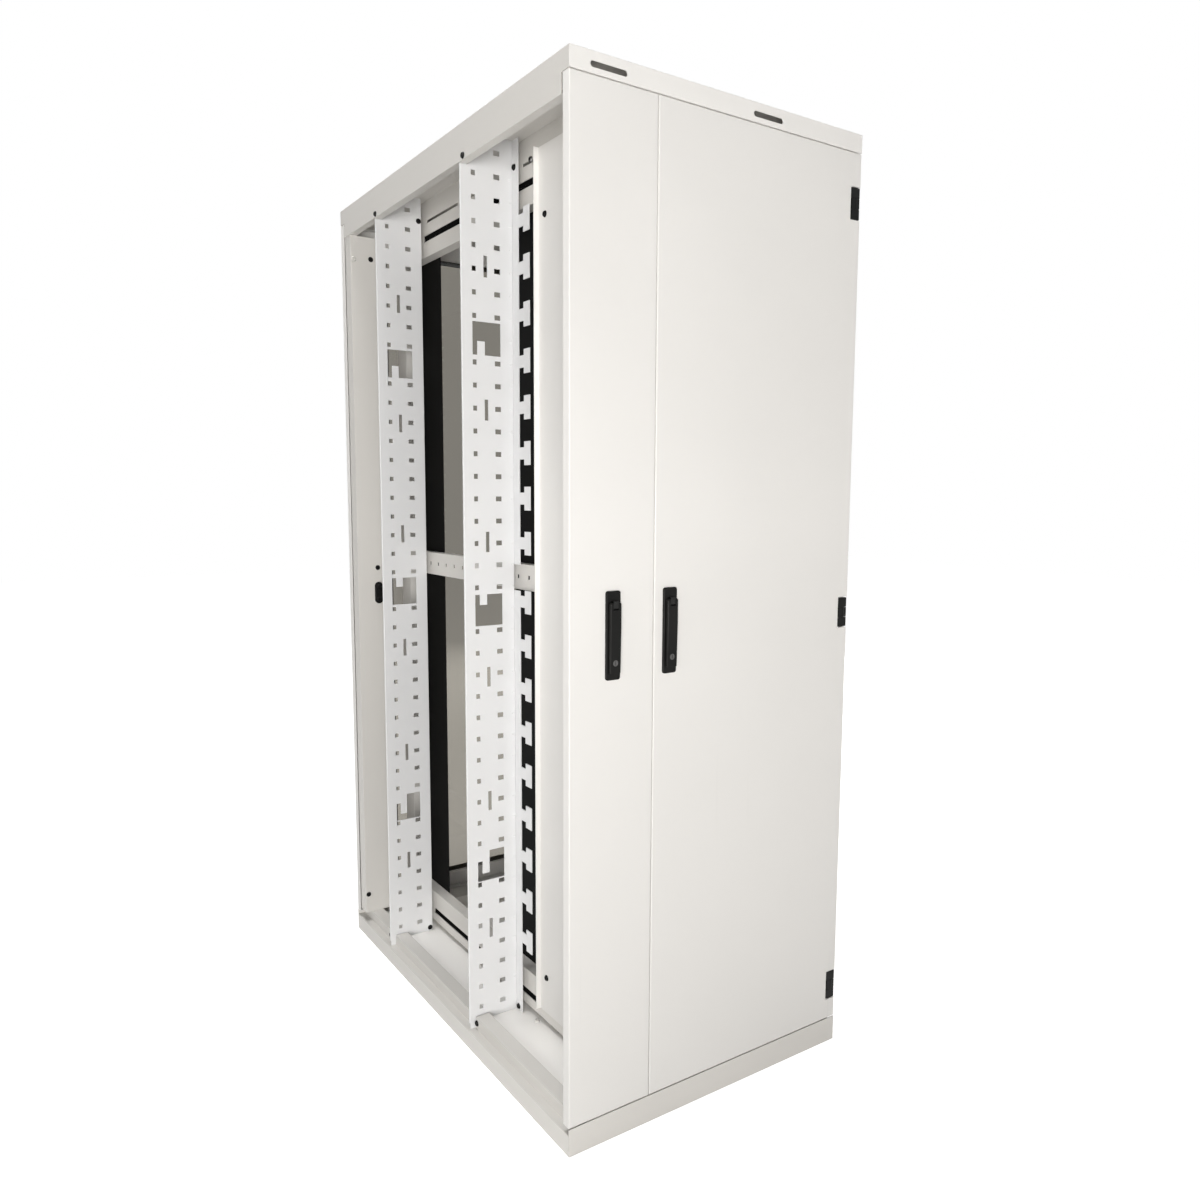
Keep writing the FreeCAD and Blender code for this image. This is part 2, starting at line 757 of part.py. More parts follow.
def rack_rail(label, mirrored_x, along):
    """An upright mounting rail: a flange with one square hole per unit and a deep side flange."""
    body = new_body(label)
    edge = f"({SECTION_INNER} + rack_flange)"
    hole_middle = f"({edge} - rack_hole_inset)"
    near = "front_rack_place" if along is same else "far_rack_place"
    section = [
        (SECTION_INNER, near),
        (edge, near),
        (edge, f"{near} + metal"),
        (f"{SECTION_INNER} + metal", f"{near} + metal"),
        (f"{SECTION_INNER} + metal", f"{near} + rack_side_depth"),
        (SECTION_INNER, f"{near} + rack_side_depth"),
    ]
    over = across_section if mirrored_x else same
    grow(body, "level", "rack_rail_low", "height - rack_rail_top_gap - rack_rail_low",
         [(over(x), along(y)) for x, y in section])
    start = f"({near} - metal)" if along is same else f"(depth - {near} - 2 * metal)"
    hole = cut(body, "front", start, "3 * metal",
               rectangle(over(f"({hole_middle} - rack_hole / 2)"), over(f"({hole_middle} + rack_hole / 2)"),
                         "rack_first_hole - rack_hole / 2", "rack_first_hole + rack_hole / 2"))
    reach = "height - rack_rail_top_gap - rack_first_hole - rack_unit / 2"
    row_of(body, hole, "Z_Axis", reach, "rack_unit")
    return body


def side_panel():
    """The removable right side: a folded tray that stands on the base rail's ledge."""
    body = new_body("right_side_panel")
    near = f"({FRAME_FRONT} + panel_clear)"
    far = f"({FRAME_FAR} - panel_clear)"
    low = "(rail_skirt + panel_clear)"
    top = f"({SKIRT_LOW} - panel_clear)"
    grow(body, "side", "width - panel_depth", "panel_depth", rectangle(near, far, low, top))
    round_face(body, "panel_metal", "XMax")
    cut(body, "side", "width - panel_depth", "panel_depth - panel_metal",
        rectangle(f"{near} + panel_metal", f"{far} - panel_metal",
                  f"{low} + panel_metal", f"{top} - panel_metal"))
    return body


def leaf_tray(label, left, right):
    """A front door leaf: a sheet with its four edges folded back."""
    body = new_body(label)
    grow(body, "front", "0", "leaf_depth", rectangle(left, right, LEAF_LOW, LEAF_TOP))
    round_face(body, "leaf_metal", "YMin")
    cut(body, "front", "leaf_metal", "leaf_depth",
        rectangle(f"{left} + leaf_metal", f"{right} - leaf_metal",
                  f"{LEAF_LOW} + leaf_metal", f"{LEAF_TOP} - leaf_metal"))
    return body


def spindle_hole(body, across, start):
    """The hole that a handle's spindle passes through."""
    cut(body, "front", start, "3 * leaf_metal", (circle, across, HANDLE_AXIS, "spindle_radius + run_clear"))


def hinge_notches(body, start):
    """Cut the leaf's right edge free around each hinge."""
    half = "(hinge_height / 2 + hinge_notch_gap)"
    notch = cut(body, "front", start, "leaf_depth + 2 * metal",
                rectangle(NOTCH_X, "width + metal", f"{HINGE_FIRST} - {half}", f"{HINGE_FIRST} + {half}"))
    repeat(body, notch, "Z_Axis", HINGE_REACH, "3")


def narrow_door():
    """The narrow front leaf over the cable bay, with the bores of its two pivots."""
    body = leaf_tray("narrow_door", "0", "(leaf_seam - door_gap / 2)")
    spindle_hole(body, "narrow_handle_place", "-leaf_metal")
    cut(body, "level", f"{LEAF_LOW} - leaf_metal", "3 * leaf_metal",
        (circle, "pivot_inset", "pivot_depth", "pivot_radius + run_clear"))
    cut(body, "level", f"{LEAF_TOP} - 2 * leaf_metal", "3 * leaf_metal",
        (circle, "pivot_inset", "pivot_depth", "pivot_radius + run_clear"))
    return body


def wide_door():
    """The wide front leaf over the equipment section."""
    body = leaf_tray("wide_door", "(leaf_seam + door_gap / 2)", "width")
    spindle_hole(body, "wide_handle_place", "-leaf_metal")
    hinge_notches(body, "-metal")
    return body


def glass_door():
    """The far door: a folded frame round a pane that sits in a rebate."""
    frame = new_body("glass_door_frame")
    back = "(depth - leaf_depth)"
    pane_left = "(stile_width - glass_rebate)"
    pane_right = "(width - stile_width + glass_rebate)"
    pane_low = f"({LEAF_LOW} + glass_rail_height - glass_rebate)"
    pane_top = f"({LEAF_TOP} - glass_rail_height + glass_rebate)"
    grow(frame, "front", back, "leaf_depth", rectangle("0", "width", LEAF_LOW, LEAF_TOP))
    round_face(frame, "leaf_metal", "YMax")
    cut(frame, "front", f"{back} - metal", "leaf_depth + 2 * metal",
        rectangle("stile_width", "width - stile_width",
                  f"{LEAF_LOW} + glass_rail_height", f"{LEAF_TOP} - glass_rail_height"))
    cut(frame, "front", back, "leaf_depth - glass_lip", rectangle(pane_left, pane_right, pane_low, pane_top))
    cut(frame, "front", back, "leaf_depth - leaf_metal",
        rectangle("leaf_metal", "width - leaf_metal", f"{LEAF_LOW} + leaf_metal", f"{LEAF_TOP} - leaf_metal"),
        rectangle(f"{pane_left} - leaf_metal", f"{pane_right} + leaf_metal",
                  f"{pane_low} - leaf_metal", f"{pane_top} + leaf_metal"))
    spindle_hole(frame, "glass_handle_place", "depth - 2 * leaf_metal")
    hinge_notches(frame, f"{back} - metal")
    pane = new_body("glass_pane")
    gap = "run_clear"
    grow(pane, "front", "depth - glass_lip - glass_thickness", "glass_thickness",
         rectangle(f"{pane_left} + {gap}", f"{pane_right} - {gap}",
                   f"{pane_low} + {gap}", f"{pane_top} - {gap}"))


def hinge_set(prefix, along):
    """Three hinges of one door: blocks on the frame, blocks on the leaf and their pins."""
    axis_y = along("hinge_axis_depth")
    half = "(hinge_height / 2)"
    split = "(hinge_split / 2)"
    ear = f"({NOTCH_X} - hinge_ear)"
    inner = f"({NOTCH_X} + hinge_gap)"
    outer = "(width - metal)"
    deep = "(metal / 2 + hinge_block_depth)"
    bore = (circle, HINGE_X, axis_y, "hinge_pin_radius + run_clear")

    leaf_side = new_body(f"{prefix}_hinge_leaf_blocks")
    leaf_section = [
        (ear, along("leaf_metal")),
        (inner, along("leaf_metal")),
        (inner, along("metal / 4")),
        (outer, along("metal / 4")),
        (outer, along(deep)),
        (ear, along(deep)),
    ]
    knuckle_height = f"({half} - {split} - hinge_gap)"
    lower = grow(leaf_side, "level", f"{HINGE_FIRST} - {half}", knuckle_height, leaf_section, bore)
    repeat(leaf_side, lower, "Z_Axis", HINGE_REACH, "3")
    upper_low = f"{HINGE_FIRST} + {split} + hinge_gap"
    upper = grow(leaf_side, "level", upper_low, knuckle_height, leaf_section, bore)
    repeat(leaf_side, upper, "Z_Axis", HINGE_REACH, "3")

    frame_side = new_body(f"{prefix}_hinge_frame_blocks")
    arm_left = f"({HINGE_X} - hinge_knuckle)"
    arm_right = f"({HINGE_X} + hinge_knuckle)"
    foot_left = f"({HINGE_X} - hinge_foot_width + hinge_knuckle)"
    foot_front = f"({FRAME_FRONT} - hinge_foot_depth)"
    arm_section = [
        (arm_left, axis_y),
        (arm_right, axis_y),
        (arm_right, along(FRAME_FRONT)),
        (foot_left, along(FRAME_FRONT)),
        (foot_left, along(foot_front)),
        (arm_left, along(foot_front)),
    ]
    arm = grow(frame_side, "level", f"{HINGE_FIRST} - {split}", "hinge_split", arm_section)
    knuckle = grow(frame_side, "level", f"{HINGE_FIRST} - {split}", "hinge_split",
                   (circle, HINGE_X, axis_y, "hinge_knuckle"))
    hole = cut(frame_side, "level", f"{HINGE_FIRST} - {split} - metal", "hinge_split + 2 * metal", bore)
    pattern = repeat(frame_side, arm, "Z_Axis", HINGE_REACH, "3")
    pattern.Originals = [arm, knuckle, hole]

    pins = new_body(f"{prefix}_hinge_pins")
    pin = grow(pins, "level", f"{HINGE_FIRST} - {half} - hinge_gap", "hinge_height + 2 * hinge_gap",
               (circle, HINGE_X, axis_y, "hinge_pin_radius"))
    repeat(pins, pin, "Z_Axis", HINGE_REACH, "3")


def narrow_pivots():
    """The two pins that the narrow leaf turns on, one on the base rail and one under the header."""
    body = new_body("narrow_door_pivots")
    round_pin = (circle, "pivot_inset", "pivot_depth", "pivot_radius")
    grow(body, "level", "plinth_height", "pivot_length", round_pin)
    grow(body, "level", f"{HEADER_LOW} - pivot_length", "pivot_length", round_pin)
    return body


def handle_set(prefix, middle, along):
    """A swing handle: base, spindle with cam, lever on its cross pin, and key plug."""
    def span(low, high):
        return low if along is same else f"(depth - {high})"

    def out(distance):
        return along(f"-{distance}")

    outside = "YMin" if along is same else "YMax"
    half = "(handle_width / 2)"
    base = new_body(f"{prefix}_handle_base")
    grow(base, "front", span("-handle_base_depth", "0"), "handle_base_depth",
         rectangle(f"{middle} - {half}", f"{middle} + {half}", HANDLE_LOW, HANDLE_TOP))
    round_edges(base, "handle_corner", lambda edge, box: runs_along(edge, INWARDS))
    bevel_faces(base, "handle_edge", outside)
    cut(base, "front", span("-2 * handle_base_depth", "handle_base_depth"), "3 * handle_base_depth",
        (circle, middle, HANDLE_AXIS, "spindle_radius + run_clear"))

    spindle = new_body(f"{prefix}_spindle")
    shaft_end = "(cam_place + cam_thickness)"
    grow(spindle, "front", span("-handle_base_depth", shaft_end), f"handle_base_depth + {shaft_end}",
         (circle, middle, HANDLE_AXIS, "spindle_radius"))
    boss_front = "(handle_base_depth + boss_depth)"
    grow(spindle, "front", span(f"-{boss_front}", "-handle_base_depth"), "boss_depth",
         rectangle(f"{middle} - boss_width / 2", f"{middle} + boss_width / 2",
                   f"{HANDLE_AXIS} - boss_height / 2", f"{HANDLE_AXIS} + boss_height / 2"))
    grow(spindle, "front", span("cam_place", shaft_end), "cam_thickness",
         rectangle(f"{middle} - cam_width / 2", f"{middle} + cam_width / 2",
                   f"{HANDLE_AXIS} - cam_length", HANDLE_AXIS))
    cut(spindle, "side", f"{middle} - boss_width", "2 * boss_width",
        (circle, out(LEVER_AXIS_Y), HANDLE_AXIS, "lever_pin_radius + run_clear"))

    lever = new_body(f"{prefix}_lever")
    left = f"({middle} - lever_width / 2)"
    tip = f"({HANDLE_AXIS} - lever_length)"
    tip_front = f"({LEVER_BACK} + lever_tip_depth)"
    grow(lever, "side", left, "lever_width", [
        (out(LEVER_BACK), HANDLE_AXIS),
        (out(LEVER_FRONT), HANDLE_AXIS),
        (out(LEVER_FRONT), f"{HANDLE_AXIS} - lever_length / 3"),
        (out(tip_front), tip),
        (out(LEVER_BACK), tip),
    ])
    grow(lever, "side", left, "lever_width", (circle, out(LEVER_AXIS_Y), HANDLE_AXIS, "lever_depth / 2"))
    bevel_faces(lever, "handle_edge", "XMin", "XMax")
    fork = "(boss_width / 2 + lever_fork_gap)"
    cut(lever, "front", span("-2 * " + LEVER_FRONT, "0"), "2 * " + LEVER_FRONT,
        rectangle(f"{middle} - {fork}", f"{middle} + {fork}",
                  f"{HANDLE_AXIS} - lever_slot_drop", f"{HANDLE_AXIS} + lever_depth"))
    cut(lever, "side", f"{left} - metal", "lever_width + 2 * metal",
        (circle, out(LEVER_AXIS_Y), HANDLE_AXIS, "lever_pin_radius + run_clear"))
    key_level = f"({HANDLE_AXIS} - key_drop)"
    cut(lever, "front", span("-2 * " + LEVER_FRONT, "0"), "2 * " + LEVER_FRONT,
        (circle, middle, key_level, "key_radius + run_clear"))

    pin = new_body(f"{prefix}_lever_pin")
    grow(pin, "side", left, "lever_width", (circle, out(LEVER_AXIS_Y), HANDLE_AXIS, "lever_pin_radius"))

    plug = new_body(f"{prefix}_key_plug")
    plug_front = f"({LEVER_BACK} + lever_tip_depth)"
    grow(plug, "front", span(f"-{plug_front}", f"-{LEVER_BACK}"), "lever_tip_depth",
         (circle, middle, key_level, "key_radius"))
    slot_half = "(key_slot_width / 2)"
    slot_start = span(f"-{plug_front}", f"-({plug_front} - key_slot_depth)")
    cut(plug, "front", slot_start, "key_slot_depth",
        rectangle(f"{middle} - {slot_half}", f"{middle} + {slot_half}",
                  f"{key_level} - key_slot_length / 2", f"{key_level} + key_slot_length / 2"))


# Base and top of the frame
base_beam("base_front_beam", same)
base_beam("base_far_beam", from_far)
base_left_rail = base_rail("base_left_rail", same)
plate_notches(base_left_rail, "rail_skirt", "base_rise + metal")
post_notches(base_rail("base_right_rail", from_right))
flat_cover("base_floor", FLOOR_SEAT, POST_BACK, from_far(POST_BACK), "depth / 2",
           "floor_entry_width", "floor_entry_depth")
top_beam("top_front_beam", same)
top_beam("top_far_beam", from_far)
top_left_rail = top_rail("top_left_rail", same)
plate_notches(top_left_rail, f"{SKIRT_LOW} - metal", "top_hem + 2 * metal")
top_rail("top_right_rail", from_right)
flat_cover("roof_panel", ROOF_LOW, "metal", from_far("metal"), "roof_entry_place",
           "roof_entry_width", "roof_entry_depth")

# Posts, depth rails and braces of the equipment section
left_section = (SECTION_INNER, "bay_width", "(bay_width + metal)")
right_section = tuple(across_section(x) for x in left_section)
section_post("bay_front_post", *left_section, FRAME_FRONT, POST_BACK)
section_post("bay_far_post", *left_section, from_far(POST_BACK), FRAME_FAR)
section_post("front_right_post", *right_section, FRAME_FRONT, POST_BACK)
section_post("far_right_post", *right_section, from_far(POST_BACK), FRAME_FAR)
far_left_post()
low_slot = f"({BASE_LIP} + low_slot_rise)"
top_slot = f"({TOP_RAIL_LOW} + depth_rail_height / 2 - metal - rail_slot_inset / 4)"
top_dash = f"({top_slot} + rail_dash_rise)"
depth_rail("bay_top_rail", *left_section, TOP_RAIL_LOW, ROOF_LOW, top_slot, top_dash)
depth_rail("bay_low_rail", *left_section, BASE_LIP, LOW_RAIL_TOP, low_slot)
depth_rail("right_top_rail", *right_section, TOP_RAIL_LOW, ROOF_LOW)
depth_rail("right_low_rail", *right_section, BASE_LIP, LOW_RAIL_TOP)
left_brace = ("(bay_width + brace_width)", "bay_width", "(bay_width + metal)")
middle_brace("bay_middle_brace", *left_brace)
middle_brace("right_middle_brace", *(across_section(x) for x in left_brace))
partition_panel()

# The cable manager: two plates and the finger combs beside the front one
cable_plate("front_cable_plate", "front_plate_place")
cable_plate("far_cable_plate", "far_plate_place")
upper_low = f"({BRACE_MIDDLE} + brace_height / 2)"
lower_high = f"({BRACE_MIDDLE} - brace_height / 2)"
finger_comb("upper_finger_comb", upper_low, TOP_RAIL_LOW, upper_low, ROOF_LOW)
finger_comb("lower_finger_comb", "(plinth_height + comb_start)", lower_high, "plinth_height", lower_high)

# Mounting rails and the removable side
rack_rail("front_left_rack_rail", False, same)
rack_rail("front_right_rack_rail", True, same)
rack_rail("far_left_rack_rail", False, from_far)
rack_rail("far_right_rack_rail", True, from_far)
side_panel()

# Doors, hinges and handles
narrow_door()
wide_door()
glass_door()
hinge_set("wide_door", same)
hinge_set("glass_door", from_far)
narrow_pivots()
handle_set("narrow_door", "narrow_handle_place", same)
handle_set("wide_door", "wide_handle_place", same)
handle_set("glass_door", "glass_handle_place", from_far)

doc.recompute()
for item in doc.Objects:
    if "Invalid" in item.State or "Error" in item.State:
        raise RuntimeError(f"{item.Label} failed to build: {item.State}")
for item in SUB_PARTS:
    if item.Shape.isNull() or not item.Shape.isValid():
        raise RuntimeError(f"{item.Label} has no valid shape")

os.makedirs("parts", exist_ok=True)
for item in SUB_PARTS:
    item.Shape.exportStep(f"parts/{item.Label}.step")
print(len(SUB_PARTS), "sub-parts written")
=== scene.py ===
# %% [markdown]
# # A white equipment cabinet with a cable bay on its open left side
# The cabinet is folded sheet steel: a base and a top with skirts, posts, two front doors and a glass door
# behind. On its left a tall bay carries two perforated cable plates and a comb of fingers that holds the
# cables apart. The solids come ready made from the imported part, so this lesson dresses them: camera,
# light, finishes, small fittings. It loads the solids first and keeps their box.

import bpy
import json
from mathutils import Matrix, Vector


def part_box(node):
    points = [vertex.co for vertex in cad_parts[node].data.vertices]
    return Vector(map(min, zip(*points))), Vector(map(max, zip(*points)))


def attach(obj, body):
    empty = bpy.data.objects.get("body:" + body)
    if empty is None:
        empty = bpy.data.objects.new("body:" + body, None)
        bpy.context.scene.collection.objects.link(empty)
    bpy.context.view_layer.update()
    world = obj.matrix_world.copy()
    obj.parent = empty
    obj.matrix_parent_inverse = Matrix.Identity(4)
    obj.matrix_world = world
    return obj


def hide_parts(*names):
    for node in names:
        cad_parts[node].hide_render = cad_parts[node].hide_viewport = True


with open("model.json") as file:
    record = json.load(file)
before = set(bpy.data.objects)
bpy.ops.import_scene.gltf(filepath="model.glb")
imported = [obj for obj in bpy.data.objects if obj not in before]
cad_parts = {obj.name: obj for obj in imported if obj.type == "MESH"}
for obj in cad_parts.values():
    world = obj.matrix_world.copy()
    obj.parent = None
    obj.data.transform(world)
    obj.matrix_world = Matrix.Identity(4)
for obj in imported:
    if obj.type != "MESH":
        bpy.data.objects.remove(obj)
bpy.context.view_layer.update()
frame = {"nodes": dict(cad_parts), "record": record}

# %% [markdown]
# A sheet metal worker measures from one corner in millimetres, while the frame counts in metres from the
# middle of the footprint. One small helper turns the first into the second, so that every fitting below
# can be placed the way a drawing would give it: right along the front, back along the side, and up. A
# second helper reads a solid's box in the same way, so that a fitting sits on the sheet itself and not on
# a copied number.

# %% Places from the front left corner
import json
import math

import bmesh
import bpy
from mathutils import Matrix, Vector

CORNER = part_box("base_front_beam")[0]
MILLIMETRE = 0.001
DECIMALS = 3


def spot(right, back, up):
    """A place in the frame from millimetres off the cabinet's front left bottom corner."""
    return CORNER + Vector((right, back, up)) * MILLIMETRE


def box_of(node):
    """The low and the high corner of a solid's box, in millimetres off that same corner."""
    return [Vector([round(value / MILLIMETRE, DECIMALS) for value in corner - CORNER])
            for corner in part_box(node)]


print("front left corner", [round(value, 3) for value in CORNER])

# %% [markdown]
# The photograph was taken from the left of the front, a little above half height and tilted slightly
# down. A camera could be aimed with a constraint, but its angles are known here, so the three axes of its
# matrix are written out: where it looks, what is right of the picture and what is down in it.

# %% Camera
PHOTO_SIDE = 1200
FOCAL_LENGTH_IN_PIXELS = 945.6
SENSOR = 36.0
CAMERA_PLACE = spot(-919.7, -1471.7, 1303.0)
YAW = math.radians(33.88)
PITCH = math.radians(6.37)
ROLL = math.radians(-0.23)


def camera_matrix():
    """The camera's place and axes, with its roll applied last."""
    ahead = Vector((math.sin(YAW) * math.cos(PITCH), math.cos(YAW) * math.cos(PITCH), -math.sin(PITCH)))
    level = Vector((math.cos(YAW), -math.sin(YAW), 0.0))
    below = ahead.cross(level)
    right = level * math.cos(ROLL) + below * math.sin(ROLL)
    down = below * math.cos(ROLL) - level * math.sin(ROLL)
    axes = Matrix((right, -down, -ahead)).transposed().to_4x4()
    return Matrix.Translation(CAMERA_PLACE) @ axes


camera = bpy.data.objects.new("photo_camera", bpy.data.cameras.new("photo_camera"))
camera.data.sensor_width = SENSOR
camera.data.lens = SENSOR * FOCAL_LENGTH_IN_PIXELS / PHOTO_SIDE
camera.matrix_world = camera_matrix()
bpy.context.scene.collection.objects.link(camera)
bpy.context.scene.camera = camera
bpy.context.scene.view_settings.view_transform = "Standard"
print("lens", round(camera.data.lens, 2), "mm")

# %% [markdown]
# Every material and node tree below is wired by one helper. It adds a node, and each of its inputs is
# either a plain value or the socket of another node, which it links. That keeps the later cells as short
# as a recipe. A second helper tells where the camera sees a surface, which the white background needs.

# %% Node helpers
def add(tree, kind, inputs=None, **settings):
    """Adds one node to a tree; an input that is a socket gets linked, and anything else is set."""
    made = tree.nodes.new(kind)
    for name, value in settings.items():
        setattr(made, name, value)
    for name, value in (inputs or {}).items():
        if isinstance(value, bpy.types.NodeSocket):
            tree.links.new(value, made.inputs[name])
        else:
            made.inputs[name].default_value = value
    return made


def seen_directly(tree):
    """1 where the camera sees a surface, straight, mirrored or through glass, and 0 for other light."""
    path = add(tree, "ShaderNodeLightPath")
    seen = path.outputs["Is Camera Ray"]
    for kind in ("Is Glossy Ray", "Is Transmission Ray"):
        seen = add(tree, "ShaderNodeMath", {0: seen, 1: path.outputs[kind]}, operation="MAXIMUM").outputs[0]
    return seen


print("node helpers ready")

# %% [markdown]
# The cabinet stands free on pure white. A world that is bright enough to look white would burn the white
# paint out, so two Background shaders share it: one is white and only shows where the camera sees it, and
# the other, which lights the cabinet, is dim and a little warm.

# %% White world
WHITE = (1.0, 1.0, 1.0, 1.0)
WORLD_LIGHT = 0.125
WORLD_COLOUR = (1.0, 0.99, 0.975, 1.0)


def studio_world():
    """Soft even light from all round, and white behind the cabinet."""
    world = bpy.data.worlds.new("studio_world")
    world.use_nodes = True
    tree = world.node_tree
    tree.nodes.clear()
    light = add(tree, "ShaderNodeBackground", {"Color": WORLD_COLOUR, "Strength": WORLD_LIGHT})
    white = add(tree, "ShaderNodeBackground", {"Color": WHITE, "Strength": 1.0})
    mix = add(tree, "ShaderNodeMixShader",
              {0: seen_directly(tree), 1: light.outputs[0], 2: white.outputs[0]})
    add(tree, "ShaderNodeOutputWorld", {"Surface": mix.outputs[0]})
    return world


bpy.context.scene.world = studio_world()
print("world light", WORLD_LIGHT)

# %% [markdown]
# The floor works like the world, but it also keeps the cabinet's shadow. Its glow leaves room for a matt
# part: far off the two add up to white, and near the cabinet the shadow darkens the matt one. Right under
# the cabinet the floor has no glow, because a glow there would show through the gaps of the base, and its
# matt grey is darker than the floor's own white: painted shade for the dark under the cabinet.

# %% Floor finishes
FLOOR_WHITE = 0.72
FLOOR_GLOW = 1.0 - FLOOR_WHITE * WORLD_LIGHT
FLOOR_BOUNCE = (0.65, 0.64, 0.625, 1.0)
# Painted shade: the floor under the cabinet is a darker grey than the floor's own white.
PAINTED_SHADE_GREY = (0.3, 0.295, 0.285, 1.0)
COVERED_ROUGHNESS = 0.8


def floor_finish():
    """Glowing white to the eye, matt white to the lamps."""
    material = bpy.data.materials.new("studio_floor")
    material.use_nodes = True
    tree = material.node_tree
    tree.nodes.clear()
    glow = add(tree, "ShaderNodeEmission", {"Color": WHITE, "Strength": FLOOR_GLOW})
    matt = add(tree, "ShaderNodeBsdfDiffuse", {"Color": (FLOOR_WHITE, FLOOR_WHITE, FLOOR_WHITE, 1.0)})
    shown = add(tree, "ShaderNodeAddShader", {0: glow.outputs[0], 1: matt.outputs[0]})
    bounce = add(tree, "ShaderNodeBsdfDiffuse", {"Color": FLOOR_BOUNCE})
    mix = add(tree, "ShaderNodeMixShader",
              {0: seen_directly(tree), 1: bounce.outputs[0], 2: shown.outputs[0]})
    add(tree, "ShaderNodeOutputMaterial", {"Surface": mix.outputs[0]})
    return material


def painted_shade_floor_finish():
    """Matt grey for the floor that the cabinet covers, darker than the floor's white as painted shade."""
    material = bpy.data.materials.new("covered_floor")
    material.use_nodes = True
    skin = material.node_tree.nodes["Principled BSDF"]
    skin.inputs["Base Color"].default_value = PAINTED_SHADE_GREY
    skin.inputs["Roughness"].default_value = COVERED_ROUGHNESS
    return material


print("floor glow", round(FLOOR_GLOW, 3))

# %% [markdown]
# The floor itself is one mesh: a ring of four faces round the footprint, and the footprint as a fifth
# face that wears the second finish. Two planes would do too, but they would need a gap in height and
# could flicker where they meet.

# %% Floor
FLOOR_REACH = 14.0
FLOOR_LEVEL = CORNER.z - MILLIMETRE
COVERED_SHARE = 0.98
COVERED = CORNER * COVERED_SHARE
FLOOR_FACES = [(0, 1, 5, 4), (1, 2, 6, 5), (2, 3, 7, 6), (3, 0, 4, 7), (4, 5, 6, 7)]


def corners_of(low, high):
    """The four corners of a rectangle on the floor."""
    ring = ((low.x, low.y), (high.x, low.y), (high.x, high.y), (low.x, high.y))
    return [(x, y, FLOOR_LEVEL) for x, y in ring]


def studio_floor():
    """A wide square with the cabinet's footprint left out, and the footprint in its own finish."""
    mesh = bpy.data.meshes.new("studio_floor")
    reach = Vector((FLOOR_REACH, FLOOR_REACH, 0.0))
    mesh.from_pydata(corners_of(-reach, reach) + corners_of(COVERED, -COVERED), [], FLOOR_FACES)
    mesh.materials.append(floor_finish())
    mesh.materials.append(painted_shade_floor_finish())
    mesh.polygons[-1].material_index = 1
    floor = bpy.data.objects.new("studio_floor", mesh)
    bpy.context.scene.collection.objects.link(floor)
    return floor


floor = studio_floor()
print("floor of", len(floor.data.polygons), "faces")

# %% [markdown]
# The light in the photograph comes from behind the camera at about its own height, a little warm. It
# reaches deep into the open bay and right up under the roof, where a lamp from above would leave the
# skirt's shadow, and the ledges that look up are bright lines. Three square lamps give that: a far one by
# the camera, one high over the bay, and a weak one that looks straight at the open side. A fourth stands
# behind, for the sides that the photograph doesn't show.

# %% Soft lamps
AIM = spot(375, 500, 1050)
NEUTRAL = (1.0, 1.0, 1.0)
WARM = (1.0, 0.985, 0.965)
FAINTLY_WARM = (1.0, 0.99, 0.975)


def softbox(name, place, side, watts, colour):
    """A square lamp that faces the middle of the cabinet."""
    lamp = bpy.data.lights.new(name, "AREA")
    lamp.shape = "SQUARE"
    lamp.size = side
    lamp.energy = watts
    lamp.color = colour
    stand = bpy.data.objects.new(name, lamp)
    turn = (AIM - place).to_track_quat("-Z", "Y").to_matrix().to_4x4()
    stand.matrix_world = Matrix.Translation(place) @ turn
    bpy.context.scene.collection.objects.link(stand)
    return stand


lamps = [
    softbox("lamp_by_camera", Vector((-2.8, -4.15, 1.0)), side=1.8, watts=183, colour=WARM),
    softbox("lamp_over_bay", Vector((-0.9, 0.0, 6.0)), side=1.2, watts=175, colour=NEUTRAL),
    softbox("lamp_at_side", Vector((-4.4, -1.2, 1.0)), side=1.8, watts=16, colour=NEUTRAL),
    softbox("lamp_behind", Vector((3.7, 3.9, 1.8)), side=2.4, watts=190, colour=FAINTLY_WARM),
]
print(len(lamps), "lamps")

# %% [markdown]
# A finish is a Principled shader with patterns on its sockets. They could be painted as pictures, but
# noises need no file and stay sharp on a tall door and a small screw alike. All of them read Object
# coordinates, so that they keep their scale from piece to piece. The helpers here are what the finishes
# share: a noise, a change of range, a blend of two shades, and a grain on softly rounded edges.

# %% Pattern helpers
# Where the Mix node keeps its colour sockets, behind those for numbers and vectors
FIRST_COLOUR, SECOND_COLOUR, MIXED_COLOUR = 6, 7, 2
EDGE_SAMPLES = 4
GRAIN_HEIGHT = 0.0008


def new_finish(name):
    """A material with its shader and the Object coordinates that its patterns read."""
    material = bpy.data.materials.new(name)
    material.use_nodes = True
    tree = material.node_tree
    skin = tree.nodes["Principled BSDF"]
    place = add(tree, "ShaderNodeTexCoord").outputs["Object"]
    return material, tree, skin, place


def noise(tree, place, scale, detail=2.0):
    """A smooth random number at every place; a larger scale makes it finer."""
    made = add(tree, "ShaderNodeTexNoise", {"Vector": place, "Scale": scale, "Detail": detail})
    return made.outputs["Fac"]


def stretched(tree, place, scale):
    """Places scaled by a number for each axis, so that a noise on them becomes long where it is small."""
    return add(tree, "ShaderNodeMapping", {"Vector": place, "Scale": scale}).outputs[0]


def ranged(tree, value, span, low=0.0, high=1.0):
    """A value carried from one span to a range and held inside it."""
    carried = add(tree, "ShaderNodeMapRange", {"Value": value, "From Min": span[0], "From Max": span[1],
                                               "To Min": low, "To Max": high})
    return carried.outputs["Result"]


def scaled(tree, socket, factor):
    """A number of the tree times a factor, which is a plain number or another one of the tree."""
    return add(tree, "ShaderNodeMath", {0: socket, 1: factor}, operation="MULTIPLY").outputs[0]


